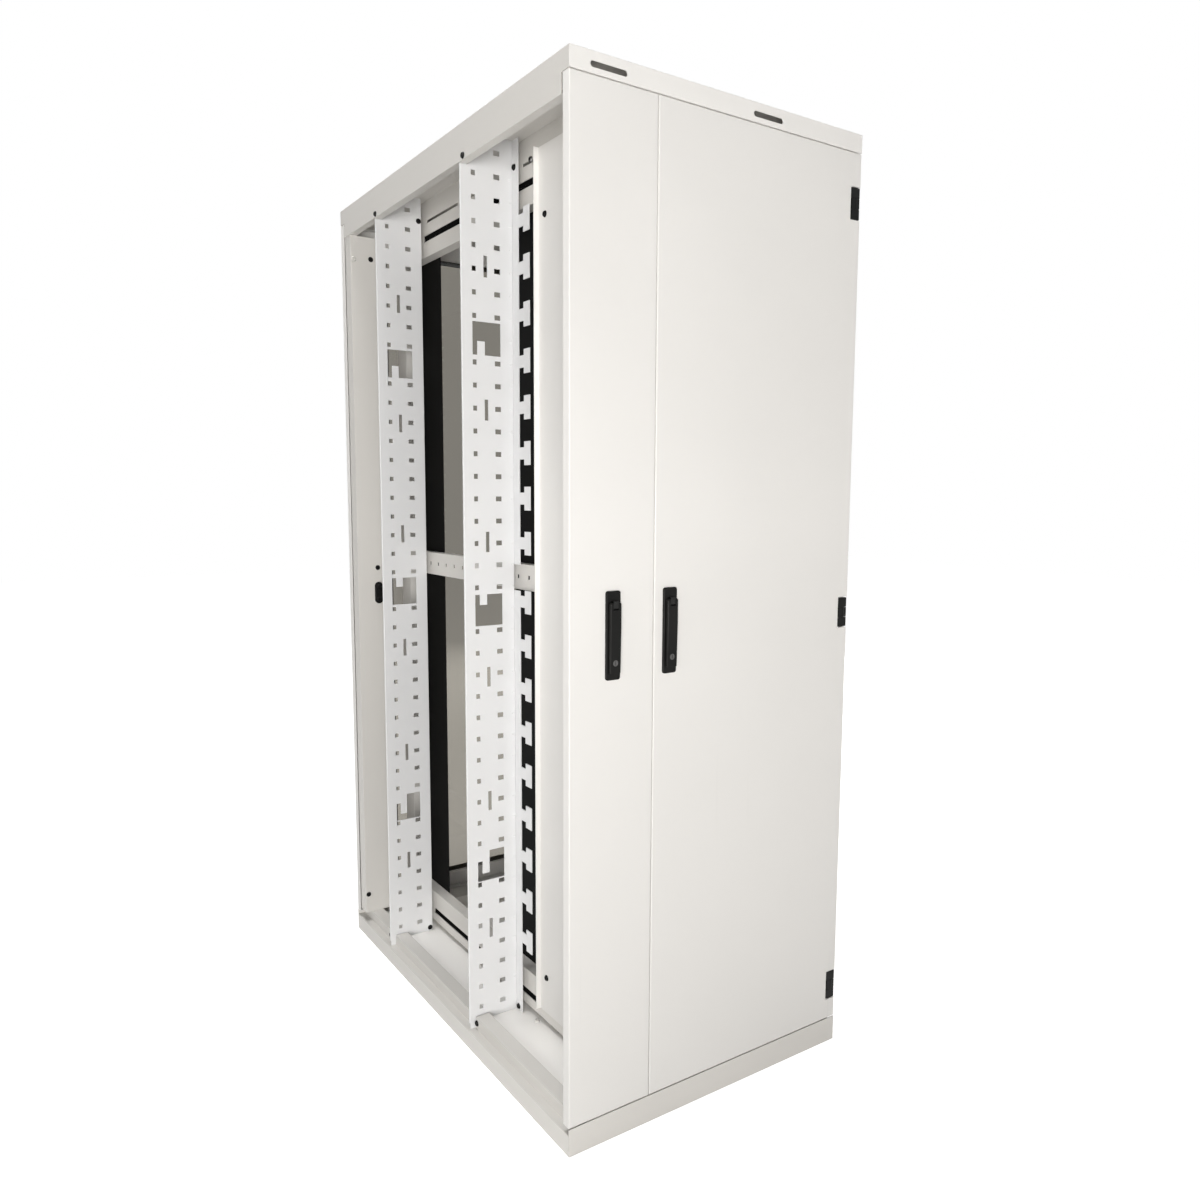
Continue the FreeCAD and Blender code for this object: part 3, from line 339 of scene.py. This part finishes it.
def mix_colours(tree, share, first, second):
    """The colour between two, by a share from 0 to 1."""
    mix = add(tree, "ShaderNodeMix", {0: share, FIRST_COLOUR: first, SECOND_COLOUR: second},
              data_type="RGBA")
    return mix.outputs[MIXED_COLOUR]


def shade_of(colour, factor):
    """The same colour, lighter or darker, with its alpha."""
    return tuple(min(1.0, part * factor) for part in colour) + (1.0,)


def between_shades(tree, share, colour, factors):
    """The colour between a darker and a lighter shade of one colour, by a share from 0 to 1."""
    darker, lighter = (shade_of(colour, factor) for factor in factors)
    return mix_colours(tree, share, darker, lighter)


def dimpled(tree, place, scale, depth, edge):
    """A normal with rounded edges and a fine grain on top."""
    rounded = add(tree, "ShaderNodeBevel", {"Radius": edge}, samples=EDGE_SAMPLES)
    bump = add(tree, "ShaderNodeBump", {"Strength": depth, "Distance": GRAIN_HEIGHT,
                                        "Height": noise(tree, place, scale),
                                        "Normal": rounded.outputs["Normal"]})
    return bump.outputs["Normal"]


print("pattern helpers ready")

# %% [markdown]
# Powder coat is sprayed dry and baked, and it flows into a skin that is even from afar and finely dimpled
# from near. Three noises make it: a wide cloud that lightens and darkens the white by a few percent, thin
# upright dust streaks in the lower half, where a cloth has wiped it, over an even painted shade towards the
# floor, and a grain for the dimples. A Bevel node rounds the shading of the folded edges, as the skin does
# on real sheet.

# %% Powder coat
CLOUD_SCALE = 1.7
CLOUD_DETAIL = 3.0
CLOUD_SPAN = (0.3, 0.7)
CLOUD_SHADES = (0.975, 1.02)
CLOUD_ROUGHNESS = (-0.05, 0.06)
STREAK_STRETCH = (26.0, 26.0, 0.55)
STREAK_DETAIL = 4.0
STREAK_SPAN = (0.47, 0.72)
DARKENING_TOP = 1.25
# Painted shade: an even darkening towards the floor under the dust streaks, standing in for the light
# falling off.
PAINTED_SHADE_SHARE = 0.8
DUST_AND_SHADE_FACTOR = 0.75
COAT_GRAIN = 650.0
COAT_DEPTH = 0.08
COAT_EDGE = 0.0012


def dust_streaks_over_painted_shade(tree, place):
    """0 to 1 in thin upright dust streaks over an even painted shade, both fading out towards the top."""
    lines = noise(tree, stretched(tree, place, STREAK_STRETCH), 1.0, STREAK_DETAIL)
    height = add(tree, "ShaderNodeSeparateXYZ", {"Vector": place}).outputs["Z"]
    low = ranged(tree, height, (0.0, DARKENING_TOP), 1.0, 0.0)
    thin = ranged(tree, lines, STREAK_SPAN)
    dust_and_shade_share = add(tree, "ShaderNodeMath", {0: thin, 1: PAINTED_SHADE_SHARE}, operation="MAXIMUM").outputs[0]
    return scaled(tree, low, dust_and_shade_share)


def powder_coat(name, colour, dust_and_shade, roughness, gloss=0.5):
    """Baked powder in one colour, with its clouds, dimples and a share of the dust streaks and painted
    shade.
    """
    material, tree, skin, place = new_finish(name)
    skin.inputs["Specular IOR Level"].default_value = gloss
    cloud = noise(tree, place, CLOUD_SCALE, CLOUD_DETAIL)
    even = between_shades(tree, ranged(tree, cloud, CLOUD_SPAN), colour, CLOUD_SHADES)
    dust_and_shade_share = scaled(tree, dust_streaks_over_painted_shade(tree, place), dust_and_shade)
    tree.links.new(mix_colours(tree, dust_and_shade_share, even, shade_of(colour, DUST_AND_SHADE_FACTOR)), skin.inputs["Base Color"])
    smooth, rough = (roughness + change for change in CLOUD_ROUGHNESS)
    tree.links.new(ranged(tree, cloud, CLOUD_SPAN, smooth, rough), skin.inputs["Roughness"])
    tree.links.new(dimpled(tree, place, COAT_GRAIN, COAT_DEPTH, COAT_EDGE), skin.inputs["Normal"])
    return material


finishes = {
    "frame_white": powder_coat("frame_powder_coat", (0.655, 0.638, 0.607), dust_and_shade=0.3, roughness=0.44),
    # Painted light: a lighter copy of the frame's white, for the front header and the floor sheet.
    "header_white": powder_coat("header_powder_coat", (0.90, 0.886, 0.86), dust_and_shade=0.0, roughness=0.42),
    "panel_white": powder_coat("door_powder_coat", (0.845, 0.832, 0.808), dust_and_shade=1.0, roughness=0.42),
    "plate_white": powder_coat("plate_powder_coat", (0.72, 0.723, 0.729), dust_and_shade=0.0, roughness=0.4),
    "rail_black": powder_coat("rail_black_coat", (0.003, 0.003, 0.0028), dust_and_shade=0.0, roughness=0.6,
                              gloss=0.05),
}
print("powder coats", sorted(finishes))

# %% [markdown]
# Handles and hinges are cast or moulded and black. Cast zinc has a coarser, softer grain than paint, and
# hands polish it where they hold it, so a slow noise lets the roughness drift between satin and dull. A
# small lift of the colour in the same places keeps the black from looking like a hole.

# %% Black castings
CASTING_GLOSS = 0.12
CASTING_DEPTH = 0.12
CASTING_EDGE = 0.0006
RUB_SCALE = 14.0
RUB_DETAIL = 3.0
RUB_SPAN = (0.35, 0.65)
RUB_SHADES = (0.8, 1.35)
RUB_ROUGHNESS = (0.1, -0.05)


def black_casting(name, colour, grain, roughness):
    """A black casting with a grain and a hand polish."""
    material, tree, skin, place = new_finish(name)
    skin.inputs["Specular IOR Level"].default_value = CASTING_GLOSS
    rub = noise(tree, place, RUB_SCALE, RUB_DETAIL)
    rubbed = between_shades(tree, ranged(tree, rub, RUB_SPAN), colour, RUB_SHADES)
    tree.links.new(rubbed, skin.inputs["Base Color"])
    dull, polished = (roughness + change for change in RUB_ROUGHNESS)
    tree.links.new(ranged(tree, rub, RUB_SPAN, dull, polished), skin.inputs["Roughness"])
    tree.links.new(dimpled(tree, place, grain, CASTING_DEPTH, CASTING_EDGE), skin.inputs["Normal"])
    return material


finishes["hinge_black"] = black_casting("hinge_black_casting", (0.006, 0.006, 0.0057), grain=420.0,
                                        roughness=0.5)
finishes["handle_black"] = black_casting("handle_black_casting", (0.008, 0.008, 0.0075), grain=520.0,
                                         roughness=0.42)
print("black castings ready")

# %% [markdown]
# Hinge pins and key plugs are turned steel with a thin plating that has gone dull, and the spindles and
# cross pins of the handles are blackened. The lathe leaves fine lines on the part, which read as a
# brushed grain: a noise stretched along one axis drives both the roughness and a shallow bump, and a slow
# cloud dulls the skin in patches. Both finishes are the same tree in two colours.

# %% Plated and blackened steel
LATHE_STRETCH = (900.0, 900.0, 60.0)
LATHE_SPAN = (0.3, 0.7)
LATHE_ROUGHNESS = (0.26, 0.42)
LATHE_DEPTH = 0.1
LATHE_HEIGHT = 0.0003
DULL_SCALE = 60.0
DULL_SHADES = (0.8, 1.1)


def plated_steel(name, colour):
    """A thin skin on turned steel."""
    material, tree, skin, place = new_finish(name)
    skin.inputs["Metallic"].default_value = 1.0
    lines = noise(tree, stretched(tree, place, LATHE_STRETCH), 1.0)
    patches = between_shades(tree, noise(tree, place, DULL_SCALE), colour, DULL_SHADES)
    tree.links.new(patches, skin.inputs["Base Color"])
    tree.links.new(ranged(tree, lines, LATHE_SPAN, *LATHE_ROUGHNESS), skin.inputs["Roughness"])
    bump = add(tree, "ShaderNodeBump", {"Strength": LATHE_DEPTH, "Distance": LATHE_HEIGHT, "Height": lines})
    tree.links.new(bump.outputs["Normal"], skin.inputs["Normal"])
    return material


finishes["pin_steel"] = plated_steel("pin_plated_steel", (0.13, 0.128, 0.125))
finishes["spindle_black"] = plated_steel("spindle_blackened_steel", (0.035, 0.035, 0.034))
print("plated and blackened steel ready")

# %% [markdown]
# The pane of the far door is safety glass with a grey tint. A glass shader alone would throw a solid
# shadow, because light bent through glass is seldom found again by the lamps, so shadow rays get a
# Transparent shader of the same tint instead. A faint drift of the tint and of the polish keeps the pane
# from looking computed.

# %% Tinted glass
GLASS_TINT = (0.225, 0.213, 0.188)
GLASS_IOR = 1.5
DRIFT_SCALE = 2.2
DRIFT_SHADES = (0.92, 1.08)
DRIFT_SPAN = (0.3, 0.7)
DRIFT_ROUGHNESS = (0.01, 0.05)


def tinted_glass(name):
    """A grey pane that lets the lamps through."""
    material, tree, skin, place = new_finish(name)
    skin.inputs["Transmission Weight"].default_value = 1.0
    skin.inputs["IOR"].default_value = GLASS_IOR
    drift = noise(tree, place, DRIFT_SCALE)
    tint = between_shades(tree, drift, GLASS_TINT, DRIFT_SHADES)
    tree.links.new(tint, skin.inputs["Base Color"])
    tree.links.new(ranged(tree, drift, DRIFT_SPAN, *DRIFT_ROUGHNESS), skin.inputs["Roughness"])
    clear = add(tree, "ShaderNodeBsdfTransparent", {"Color": tint})
    path = add(tree, "ShaderNodeLightPath")
    mix = add(tree, "ShaderNodeMixShader",
              {0: path.outputs["Is Shadow Ray"], 1: skin.outputs[0], 2: clear.outputs[0]})
    tree.links.new(mix.outputs[0], tree.nodes["Material Output"].inputs["Surface"])
    return material


finishes["tinted_glass"] = tinted_glass("pane_tinted_glass")
print("glass ready")

# %% [markdown]
# The imported record says which finish each piece wears. Assigning by that list, and not by hand, means
# that no piece can be forgotten, hidden ones included, and that a piece keeps its finish if the part is
# packed again. Only the front header and the floor sheet differ: they wear a lighter copy of the frame's
# white, painted light for the brighter light that falls on them.

# %% Finish every piece
# Pieces that wear the lighter copy of the frame's white as painted light.
LIT_COPY_PIECES = ("top_front_beam", "base_floor")

slots = {part["node"]: part["material_slot"] for part in frame["record"]["subparts"]}
slots.update({name: "header_white" for name in LIT_COPY_PIECES})
for name, piece in frame["nodes"].items():
    piece.data.materials.clear()
    piece.data.materials.append(finishes[slots[name]])
print(len(slots), "pieces finished")

# %% [markdown]
# Screws, rivets and bristles repeat. A loop could copy them, but a tree of Geometry Nodes has their sizes
# as named inputs and can be tried out by hand: it makes the shape once and puts a copy on every seat,
# turned to face the way the sheet does. The seats are bare points that carry that direction as an
# attribute. All three kinds share the way such a tree begins and ends, so that comes first.

# %% Tree helpers
LEAN_SEED = 11


def open_tree(name, sizes):
    """An empty tree with points in, a named number for each size, a finish, and a mesh out."""
    tree = bpy.data.node_groups.new(name, "GeometryNodeTree")
    tree.interface.new_socket("Seats", in_out="INPUT", socket_type="NodeSocketGeometry")
    for size in sizes:
        tree.interface.new_socket(size, in_out="INPUT", socket_type="NodeSocketFloat")
    tree.interface.new_socket("Finish", in_out="INPUT", socket_type="NodeSocketMaterial")
    tree.interface.new_socket("Mesh", in_out="OUTPUT", socket_type="NodeSocketGeometry")
    return tree, tree.nodes.new("NodeGroupInput")


def leant(tree, turn, lean):
    """A turn with a random lean to the sides, the same on every run."""
    astray = add(tree, "FunctionNodeRandomValue", {0: (-lean, -lean, 0.0), 1: (lean, lean, 0.0),
                                                   "Seed": LEAN_SEED}, data_type="FLOAT_VECTOR")
    return add(tree, "FunctionNodeRotateRotation", {"Rotation": turn, "Rotate By": astray.outputs[0]},
               rotation_space="LOCAL").outputs[0]


def on_seats(tree, enter, copy, lean=0.0):
    """Ends a tree: one copy on each seat, facing its way but for a lean, made real and given its finish."""
    facing = add(tree, "GeometryNodeInputNamedAttribute", {"Name": "facing"}, data_type="FLOAT_VECTOR")
    aligned = add(tree, "FunctionNodeAlignRotationToVector", {"Vector": facing.outputs[0]}, axis="Z")
    turn = leant(tree, aligned.outputs[0], lean) if lean else aligned.outputs[0]
    copies = add(tree, "GeometryNodeInstanceOnPoints",
                 {"Points": enter.outputs["Seats"], "Instance": copy, "Rotation": turn})
    real = add(tree, "GeometryNodeRealizeInstances", {"Geometry": copies.outputs[0]})
    coated = add(tree, "GeometryNodeSetMaterial",
                 {"Geometry": real.outputs[0], "Material": enter.outputs["Finish"]})
    add(tree, "NodeGroupOutput", {"Mesh": coated.outputs[0]})


print("tree helpers ready")

# %% [markdown]
# Small button head screws hold the plates, the partition and the rails together. A head is a cone cut
# short, and a six sided hole takes the key. The hole could be a dark spot in the finish, but a real one
# holds a shadow from every side, so a Boolean node cuts it out of the head.

# %% Screw tree
HEAD_CORNERS = 20
KEY_CORNERS = 6
# Shares of the head's radius and of its height
HEAD_TAPER = 0.72
KEY_LENGTH = 1.2


def raised(tree, geometry, height):
    """Geometry lifted along its own axis."""
    lift = add(tree, "ShaderNodeCombineXYZ", {"Z": height}).outputs[0]
    return add(tree, "GeometryNodeTransform", {"Geometry": geometry, "Translation": lift}).outputs[0]


def screw_tree():
    """Button heads with a hexagon socket; the key's middle is level with the top of the head."""
    tree, enter = open_tree("button_screws", ("Head Radius", "Head Height", "Key Radius"))
    radius, height = enter.outputs["Head Radius"], enter.outputs["Head Height"]
    head = add(tree, "GeometryNodeMeshCone",
               {"Vertices": HEAD_CORNERS, "Radius Bottom": radius,
                "Radius Top": scaled(tree, radius, HEAD_TAPER), "Depth": height})
    key = add(tree, "GeometryNodeMeshCylinder",
              {"Vertices": KEY_CORNERS, "Radius": enter.outputs["Key Radius"],
               "Depth": scaled(tree, height, KEY_LENGTH)})
    cut = add(tree, "GeometryNodeMeshBoolean", {"Mesh 1": head.outputs["Mesh"]}, operation="DIFFERENCE")
    tree.links.new(raised(tree, key.outputs["Mesh"], height), cut.inputs["Mesh 2"])
    on_seats(tree, enter, cut.outputs["Mesh"])
    return tree


screws = screw_tree()
print("screw tree with", len(screws.nodes), "nodes")

# %% [markdown]
# A tree only makes a mesh once an object carries it. The helper below puts the seats into an object, sets
# the sizes by the sockets' identifiers, asks Blender for the finished mesh and then drops the modifier,
# so that what is left is a plain mesh that can ride on a body of the cabinet. The sizes that go into a
# tree are in metres, as in Blender's own panels.

# %% Grow a mesh from a tree
def seats(name, places, facing):
    """Bare points that carry the direction they face."""
    mesh = bpy.data.meshes.new(name)
    mesh.from_pydata(places, [], [])
    ways = mesh.attributes.new("facing", "FLOAT_VECTOR", "POINT")
    for entry in ways.data:
        entry.vector = facing
    return mesh


def grow(name, mesh, tree, body, **inputs):
    """Runs a tree on a mesh and leaves a plain mesh that rides on a body."""
    piece = bpy.data.objects.new(name, mesh)
    bpy.context.scene.collection.objects.link(piece)
    modifier = piece.modifiers.new("tree", "NODES")
    modifier.node_group = tree
    for socket in tree.interface.items_tree:
        key = socket.name.lower().replace(" ", "_")
        if socket.in_out == "INPUT" and key in inputs:
            modifier[socket.identifier] = inputs[key]
    depsgraph = bpy.context.evaluated_depsgraph_get()
    grown = bpy.data.meshes.new_from_object(piece.evaluated_get(depsgraph))
    piece.modifiers.remove(modifier)
    piece.data = grown
    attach(piece, body)
    return piece


print("grow helper ready")

# %% [markdown]
# Where the screws sit was read from the dark dots in the photograph: two on the top skirt and two on the
# base riser beside the plates, a few on the partition, the rail above it and the far post, one near each
# end of a plate and one on the floor. Each list belongs to one flat face, so all its screws look the same
# way. Most are black. The faintest dots are screws that were painted with the frame or left in dull steel.

# %% Screws on the frame
LEFT = Vector((-1, 0, 0))
FRONT = Vector((0, -1, 0))
UP = Vector((0, 0, 1))
SHEET = 2
SKIRT_FACE = box_of("top_left_rail")[0].x
RISER_FACE = 20
PARTITION_FACE = box_of("partition_panel")[1].x - SHEET
RAIL_FACE = box_of("bay_top_rail")[0].x
COMB_FACE = box_of("upper_finger_comb")[0].x
FAR_PLATE_FACE = box_of("far_cable_plate")[0].y
POST_FACE = box_of("far_left_post")[0].y
FLOOR_FACE = box_of("base_floor")[1].z
PLATE_SCREW_LEVELS = (67, 2018)
SCREW = dict(head_radius=0.0072, head_height=0.0035, key_radius=0.0028)


def screw_row(name, places, facing, finish="hinge_black"):
    """Screws of one face of the frame."""
    piece = grow(name, seats(name, [spot(*place) for place in places], facing), screws, "frame",
                 finish=finishes[finish], **SCREW)
    print(name, len(places), "screws,", len(piece.data.polygons), "faces")


screw_row("top_skirt_screws", [(SKIRT_FACE, back, 2013) for back in (424, 935)], LEFT)
screw_row("base_riser_screws", [(RISER_FACE, back, 58) for back in (442, 985)], LEFT)
screw_row("partition_screws", [(PARTITION_FACE, 335, up) for up in (181, 1897)], LEFT)
screw_row("top_rail_screws", [(RAIL_FACE, 398, 2026)], LEFT, "pin_steel")
screw_row("comb_screws", [(COMB_FACE, 441, up) for up in PLATE_SCREW_LEVELS], LEFT)
screw_row("far_plate_screws", [(124, FAR_PLATE_FACE, up) for up in PLATE_SCREW_LEVELS], FRONT)
screw_row("far_post_screws", [(59, POST_FACE, 1947), (10, POST_FACE, 126), (60, POST_FACE, 1092)], FRONT)
screw_row("painted_post_screws", [(10, POST_FACE, 1942)], FRONT, "frame_white")
screw_row("floor_screws", [(143, 372, FLOOR_FACE)], UP, "frame_white")

# %% [markdown]
# Moulded blocks and folded bars have one outline all along. So the next fittings are drawn as outlines
# and pulled out to their depth, the way a press or a die makes them. Scaled cubes would be quicker, but
# none of these pieces is a plain block. BMesh fills an outline as one face and extrudes it, and several
# outlines can share one mesh.

# %% Pulled outlines
def upright(place, outline):
    """An outline given across and up in millimetres, as a ring of points in the frame."""
    return [place + Vector((across * MILLIMETRE, 0.0, up * MILLIMETRE)) for across, up in outline]


def pulled(name, rings, way, finish):
    """Rings of points that are filled and pulled along one way, together as one mesh."""
    shape = bmesh.new()
    for ring in rings:
        face = shape.faces.new([shape.verts.new(point) for point in ring])
        grown = bmesh.ops.extrude_face_region(shape, geom=[face])["geom"]
        far_ring = [item for item in grown if isinstance(item, bmesh.types.BMVert)]
        bmesh.ops.translate(shape, vec=way, verts=far_ring)
    bmesh.ops.recalc_face_normals(shape, faces=shape.faces)
    mesh = bpy.data.meshes.new(name)
    shape.to_mesh(mesh)
    shape.free()
    mesh.materials.append(finish)
    piece = bpy.data.objects.new(name, mesh)
    bpy.context.scene.collection.objects.link(piece)
    return piece


print("outline helpers ready")

# %% [markdown]
# A catch with two fixings sits half way up the far post. It is a short black block with round ends, so
# its outline is two half circles joined by straight sides. The edge could be drawn into the mesh, but a
# Bevel modifier keeps its rounding even all round the ends.

# %% Catch on the far post
CATCH_ACROSS = 60
CATCH_LEVEL = 1020
CATCH_HALF_WIDTH = 11
CATCH_HALF_STRAIGHT = 20
CATCH_DEPTH = 8
CATCH_EDGE = 1.5
CATCH_EDGE_STEPS = 2
CATCH_SCREW_OFFSETS = (-18, 18)
ROUND_STEPS = 10


def oblong_outline(half_width, half_straight):
    """Points round an upright oblong with half circle ends."""
    points = []
    for end, start in ((half_straight, 0.0), (-half_straight, math.pi)):
        for step in range(ROUND_STEPS + 1):
            angle = start + math.pi * step / ROUND_STEPS
            points.append((half_width * math.cos(angle), end + half_width * math.sin(angle)))
    return points


catch_outline = oblong_outline(CATCH_HALF_WIDTH, CATCH_HALF_STRAIGHT)
catch = pulled("far_post_catch", [upright(spot(CATCH_ACROSS, POST_FACE, CATCH_LEVEL), catch_outline)],
               FRONT * CATCH_DEPTH * MILLIMETRE, finishes["hinge_black"])
rounding = catch.modifiers.new("edge", "BEVEL")
rounding.width = CATCH_EDGE * MILLIMETRE
rounding.segments = CATCH_EDGE_STEPS
rounding.limit_method = "ANGLE"
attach(catch, "frame")
catch_screws = [(CATCH_ACROSS, POST_FACE - CATCH_DEPTH, CATCH_LEVEL + offset)
                for offset in CATCH_SCREW_OFFSETS]
screw_row("far_post_catch_screws", catch_screws, FRONT)

# %% [markdown]
# Seen from the front, a hinge is one black bar on the door's edge. The solid's middle part is a bare
# knuckle on an arm, so each gets a small cap that fills the bar up and belongs to the frame. It stays
# inside the circle that the leaf's edge turns on, and a hair away from the leaf's own blocks above and
# below it.

# %% Hinge caps
BLOCK_HALF_HEIGHT = 11
KNUCKLE_RADIUS = 8
CAP_BACKS = (16, 1199.5)
CAP_DEPTH = 15.5
CAP_LEFT = -14
CAP_RIGHT = 10
CAP_HALF_HEIGHT = 10.8
CAP_CHAMFER = 1


def cap_outline():
    """A bar across the knuckle with its two outer corners cut."""
    inner, side = CAP_RIGHT - CAP_CHAMFER, CAP_HALF_HEIGHT - CAP_CHAMFER
    return [(CAP_LEFT, -CAP_HALF_HEIGHT), (inner, -CAP_HALF_HEIGHT), (CAP_RIGHT, -side), (CAP_RIGHT, side),
            (inner, CAP_HALF_HEIGHT), (CAP_LEFT, CAP_HALF_HEIGHT)]


blocks_low, blocks_high = box_of("wide_door_hinge_frame_blocks")
hinge_line = blocks_high.x - KNUCKLE_RADIUS
lowest, highest = blocks_low.z + BLOCK_HALF_HEIGHT, blocks_high.z - BLOCK_HALF_HEIGHT
hinge_levels = (lowest, (lowest + highest) / 2, highest)
caps = pulled("hinge_caps", [upright(spot(hinge_line, cap_back, level), cap_outline())
                             for cap_back in CAP_BACKS for level in hinge_levels],
              FRONT * CAP_DEPTH * MILLIMETRE, finishes["hinge_black"])
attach(caps, "frame")
print(len(caps.data.polygons), "faces of hinge caps at", hinge_levels)

# %% [markdown]
# In the photograph the partition beside the front plate runs up behind the top skirt without an end, and
# so it covers the near part of the top rail. The solid stops short of that, so a taller sheet takes its
# place: the same section, a long wall with its rear edge folded into the bay, drawn as a ring on the
# level and pulled upwards.

# %% Tall partition
PARTITION_TOP = 2040


def partition_section(low, high):
    """The wall and its fold as a ring of points, from the box of the solid."""
    wall, fold = high.x - SHEET, high.y - SHEET
    corners = ((high.x, low.y), (high.x, high.y), (low.x, high.y),
               (low.x, fold), (wall, fold), (wall, low.y))
    return [spot(right, back, low.z) for right, back in corners]


solid_low, solid_high = box_of("partition_panel")
partition_height = PARTITION_TOP - solid_low.z
partition = pulled("tall_partition", [partition_section(solid_low, solid_high)],
                   UP * partition_height * MILLIMETRE, finishes["panel_white"])
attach(partition, "frame")
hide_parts("partition_panel")
print("partition", partition_height, "mm tall")

# %% [markdown]
# The comb is riveted to the front plate, and the rivets show as a faint row of dots beside it. A rivet's
# head is a shallow dome: a sphere pressed flat, with its lower half inside the sheet. The same ending as
# for the screws puts one on each seat.

# %% Rivets beside the comb
RIVET_SIDES = 10
RIVET_RINGS = 6
RIVET_PRESS = 0.42
RIVET_RADIUS = 0.0028
RIVET_INSET = 6
RIVET_FIRST = 142
RIVET_PITCH = 50
RIVET_COUNT = 38
FRONT_PLATE_FACE = box_of("front_cable_plate")[0].y


def rivet_tree():
    """Shallow domes on seats."""
    tree, enter = open_tree("dome_rivets", ("Head Radius",))
    ball = add(tree, "GeometryNodeMeshUVSphere",
               {"Segments": RIVET_SIDES, "Rings": RIVET_RINGS, "Radius": enter.outputs["Head Radius"]})
    dome = add(tree, "GeometryNodeTransform",
               {"Geometry": ball.outputs["Mesh"], "Scale": (1.0, 1.0, RIVET_PRESS)})
    on_seats(tree, enter, dome.outputs[0])
    return tree


rivet_places = [spot(COMB_FACE - RIVET_INSET, FRONT_PLATE_FACE, RIVET_FIRST + RIVET_PITCH * number)
                for number in range(RIVET_COUNT)]
rivets = grow("comb_rivets", seats("comb_rivets", rivet_places, FRONT), rivet_tree(), "frame",
              head_radius=RIVET_RADIUS, finish=finishes["plate_white"])
print(len(rivet_places), "rivets,", len(rivets.data.polygons), "faces")

# %% [markdown]
# The long slots in the bay's top and low rails look black in the photograph, and black brushes close them:
# cables push through them and dust stays out, and their black stands in for the shade inside the slots, as
# painted shade. A brush is a holder, a narrow bar folded to a channel, and a row of bristles that stands in
# it. Two brushes meet in the middle of each slot, behind the rail's web. The holders are one outline pulled
# along the slot, and they come first.

# %% Brush holders
SLOT_FAR_ENDS = (652, 977)
SLOT_LENGTH = 305
SLOT_LEVELS = (103, 1980)
SLOT_HALF = 8
HOLDER_DEPTH = 6.5
HOLDER_HEIGHT = 6
HOLDER_WALL = 1
WEB_INSIDE = RAIL_FACE + SHEET


def holder_outline(way):
    """A channel that opens down, for a way of 1, or up, for -1."""
    inner, outer = HOLDER_DEPTH - HOLDER_WALL, HOLDER_DEPTH
    ceiling = HOLDER_HEIGHT - HOLDER_WALL
    corners = [(0, 0), (HOLDER_WALL, 0), (HOLDER_WALL, ceiling), (inner, ceiling), (inner, 0), (outer, 0),
               (outer, HOLDER_HEIGHT), (0, HOLDER_HEIGHT)]
    return [(across, way * up) for across, up in corners]


# Painted shade: the black holders and bristles stand in for the shade inside the slots.
holders = pulled("slot_brush_holders",
                 [upright(spot(WEB_INSIDE, far_end, level + way * SLOT_HALF), holder_outline(way))
                  for far_end in SLOT_FAR_ENDS for level in SLOT_LEVELS for way in (1, -1)],
                 FRONT * SLOT_LENGTH * MILLIMETRE, finishes["hinge_black"])
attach(holders, "frame")
print(len(holders.data.polygons), "faces of brush holders")

# %% [markdown]
# A bristle is a thin peg that tapers to its tip, with four sides, because there are two thousand of them
# and each is about a pixel wide in the photograph. They stand in two staggered rows in each holder, and a
# random lean with a fixed seed keeps the tips from lining up like teeth.

# %% Bristles
BRISTLE_SIDES = 4
BRISTLE_TAPER = 0.6
BRISTLE_LEAN = 0.09
BRISTLE_RADIUS = 0.0016
BRISTLE_LENGTH = 0.0108
BRISTLE_STEP = 2.4
BRISTLE_ROWS = ((2.4, 0.0), (4.6, BRISTLE_STEP / 2))
BRISTLE_ROOT = 3


def bristle_tree():
    """Tapered pegs that stand on their seats and lean a little."""
    tree, enter = open_tree("brush_bristles", ("Bristle Radius", "Bristle Length"))
    radius, length = enter.outputs["Bristle Radius"], enter.outputs["Bristle Length"]
    peg = add(tree, "GeometryNodeMeshCone",
              {"Vertices": BRISTLE_SIDES, "Radius Bottom": radius,
               "Radius Top": scaled(tree, radius, BRISTLE_TAPER), "Depth": length})
    on_seats(tree, enter, peg.outputs["Mesh"], BRISTLE_LEAN)
    return tree


def bristle_roots(way):
    """Where the bristles of all the holders that open one way stand."""
    count = int(SLOT_LENGTH / BRISTLE_STEP)
    root = way * (SLOT_HALF + BRISTLE_ROOT)
    return [spot(WEB_INSIDE + behind, far_end - shift - BRISTLE_STEP * number, level + root)
            for far_end in SLOT_FAR_ENDS for level in SLOT_LEVELS
            for behind, shift in BRISTLE_ROWS for number in range(count)]


bristles = bristle_tree()
# The black of the bristles is painted shade for the dark inside the slots.
for name, way in (("upper_bristles", 1), ("lower_bristles", -1)):
    brush = grow(name, seats(name, bristle_roots(way), UP * -way), bristles, "frame",
                 bristle_radius=BRISTLE_RADIUS, bristle_length=BRISTLE_LENGTH,
                 finish=finishes["rail_black"])
    print(name, len(brush.data.polygons), "faces")
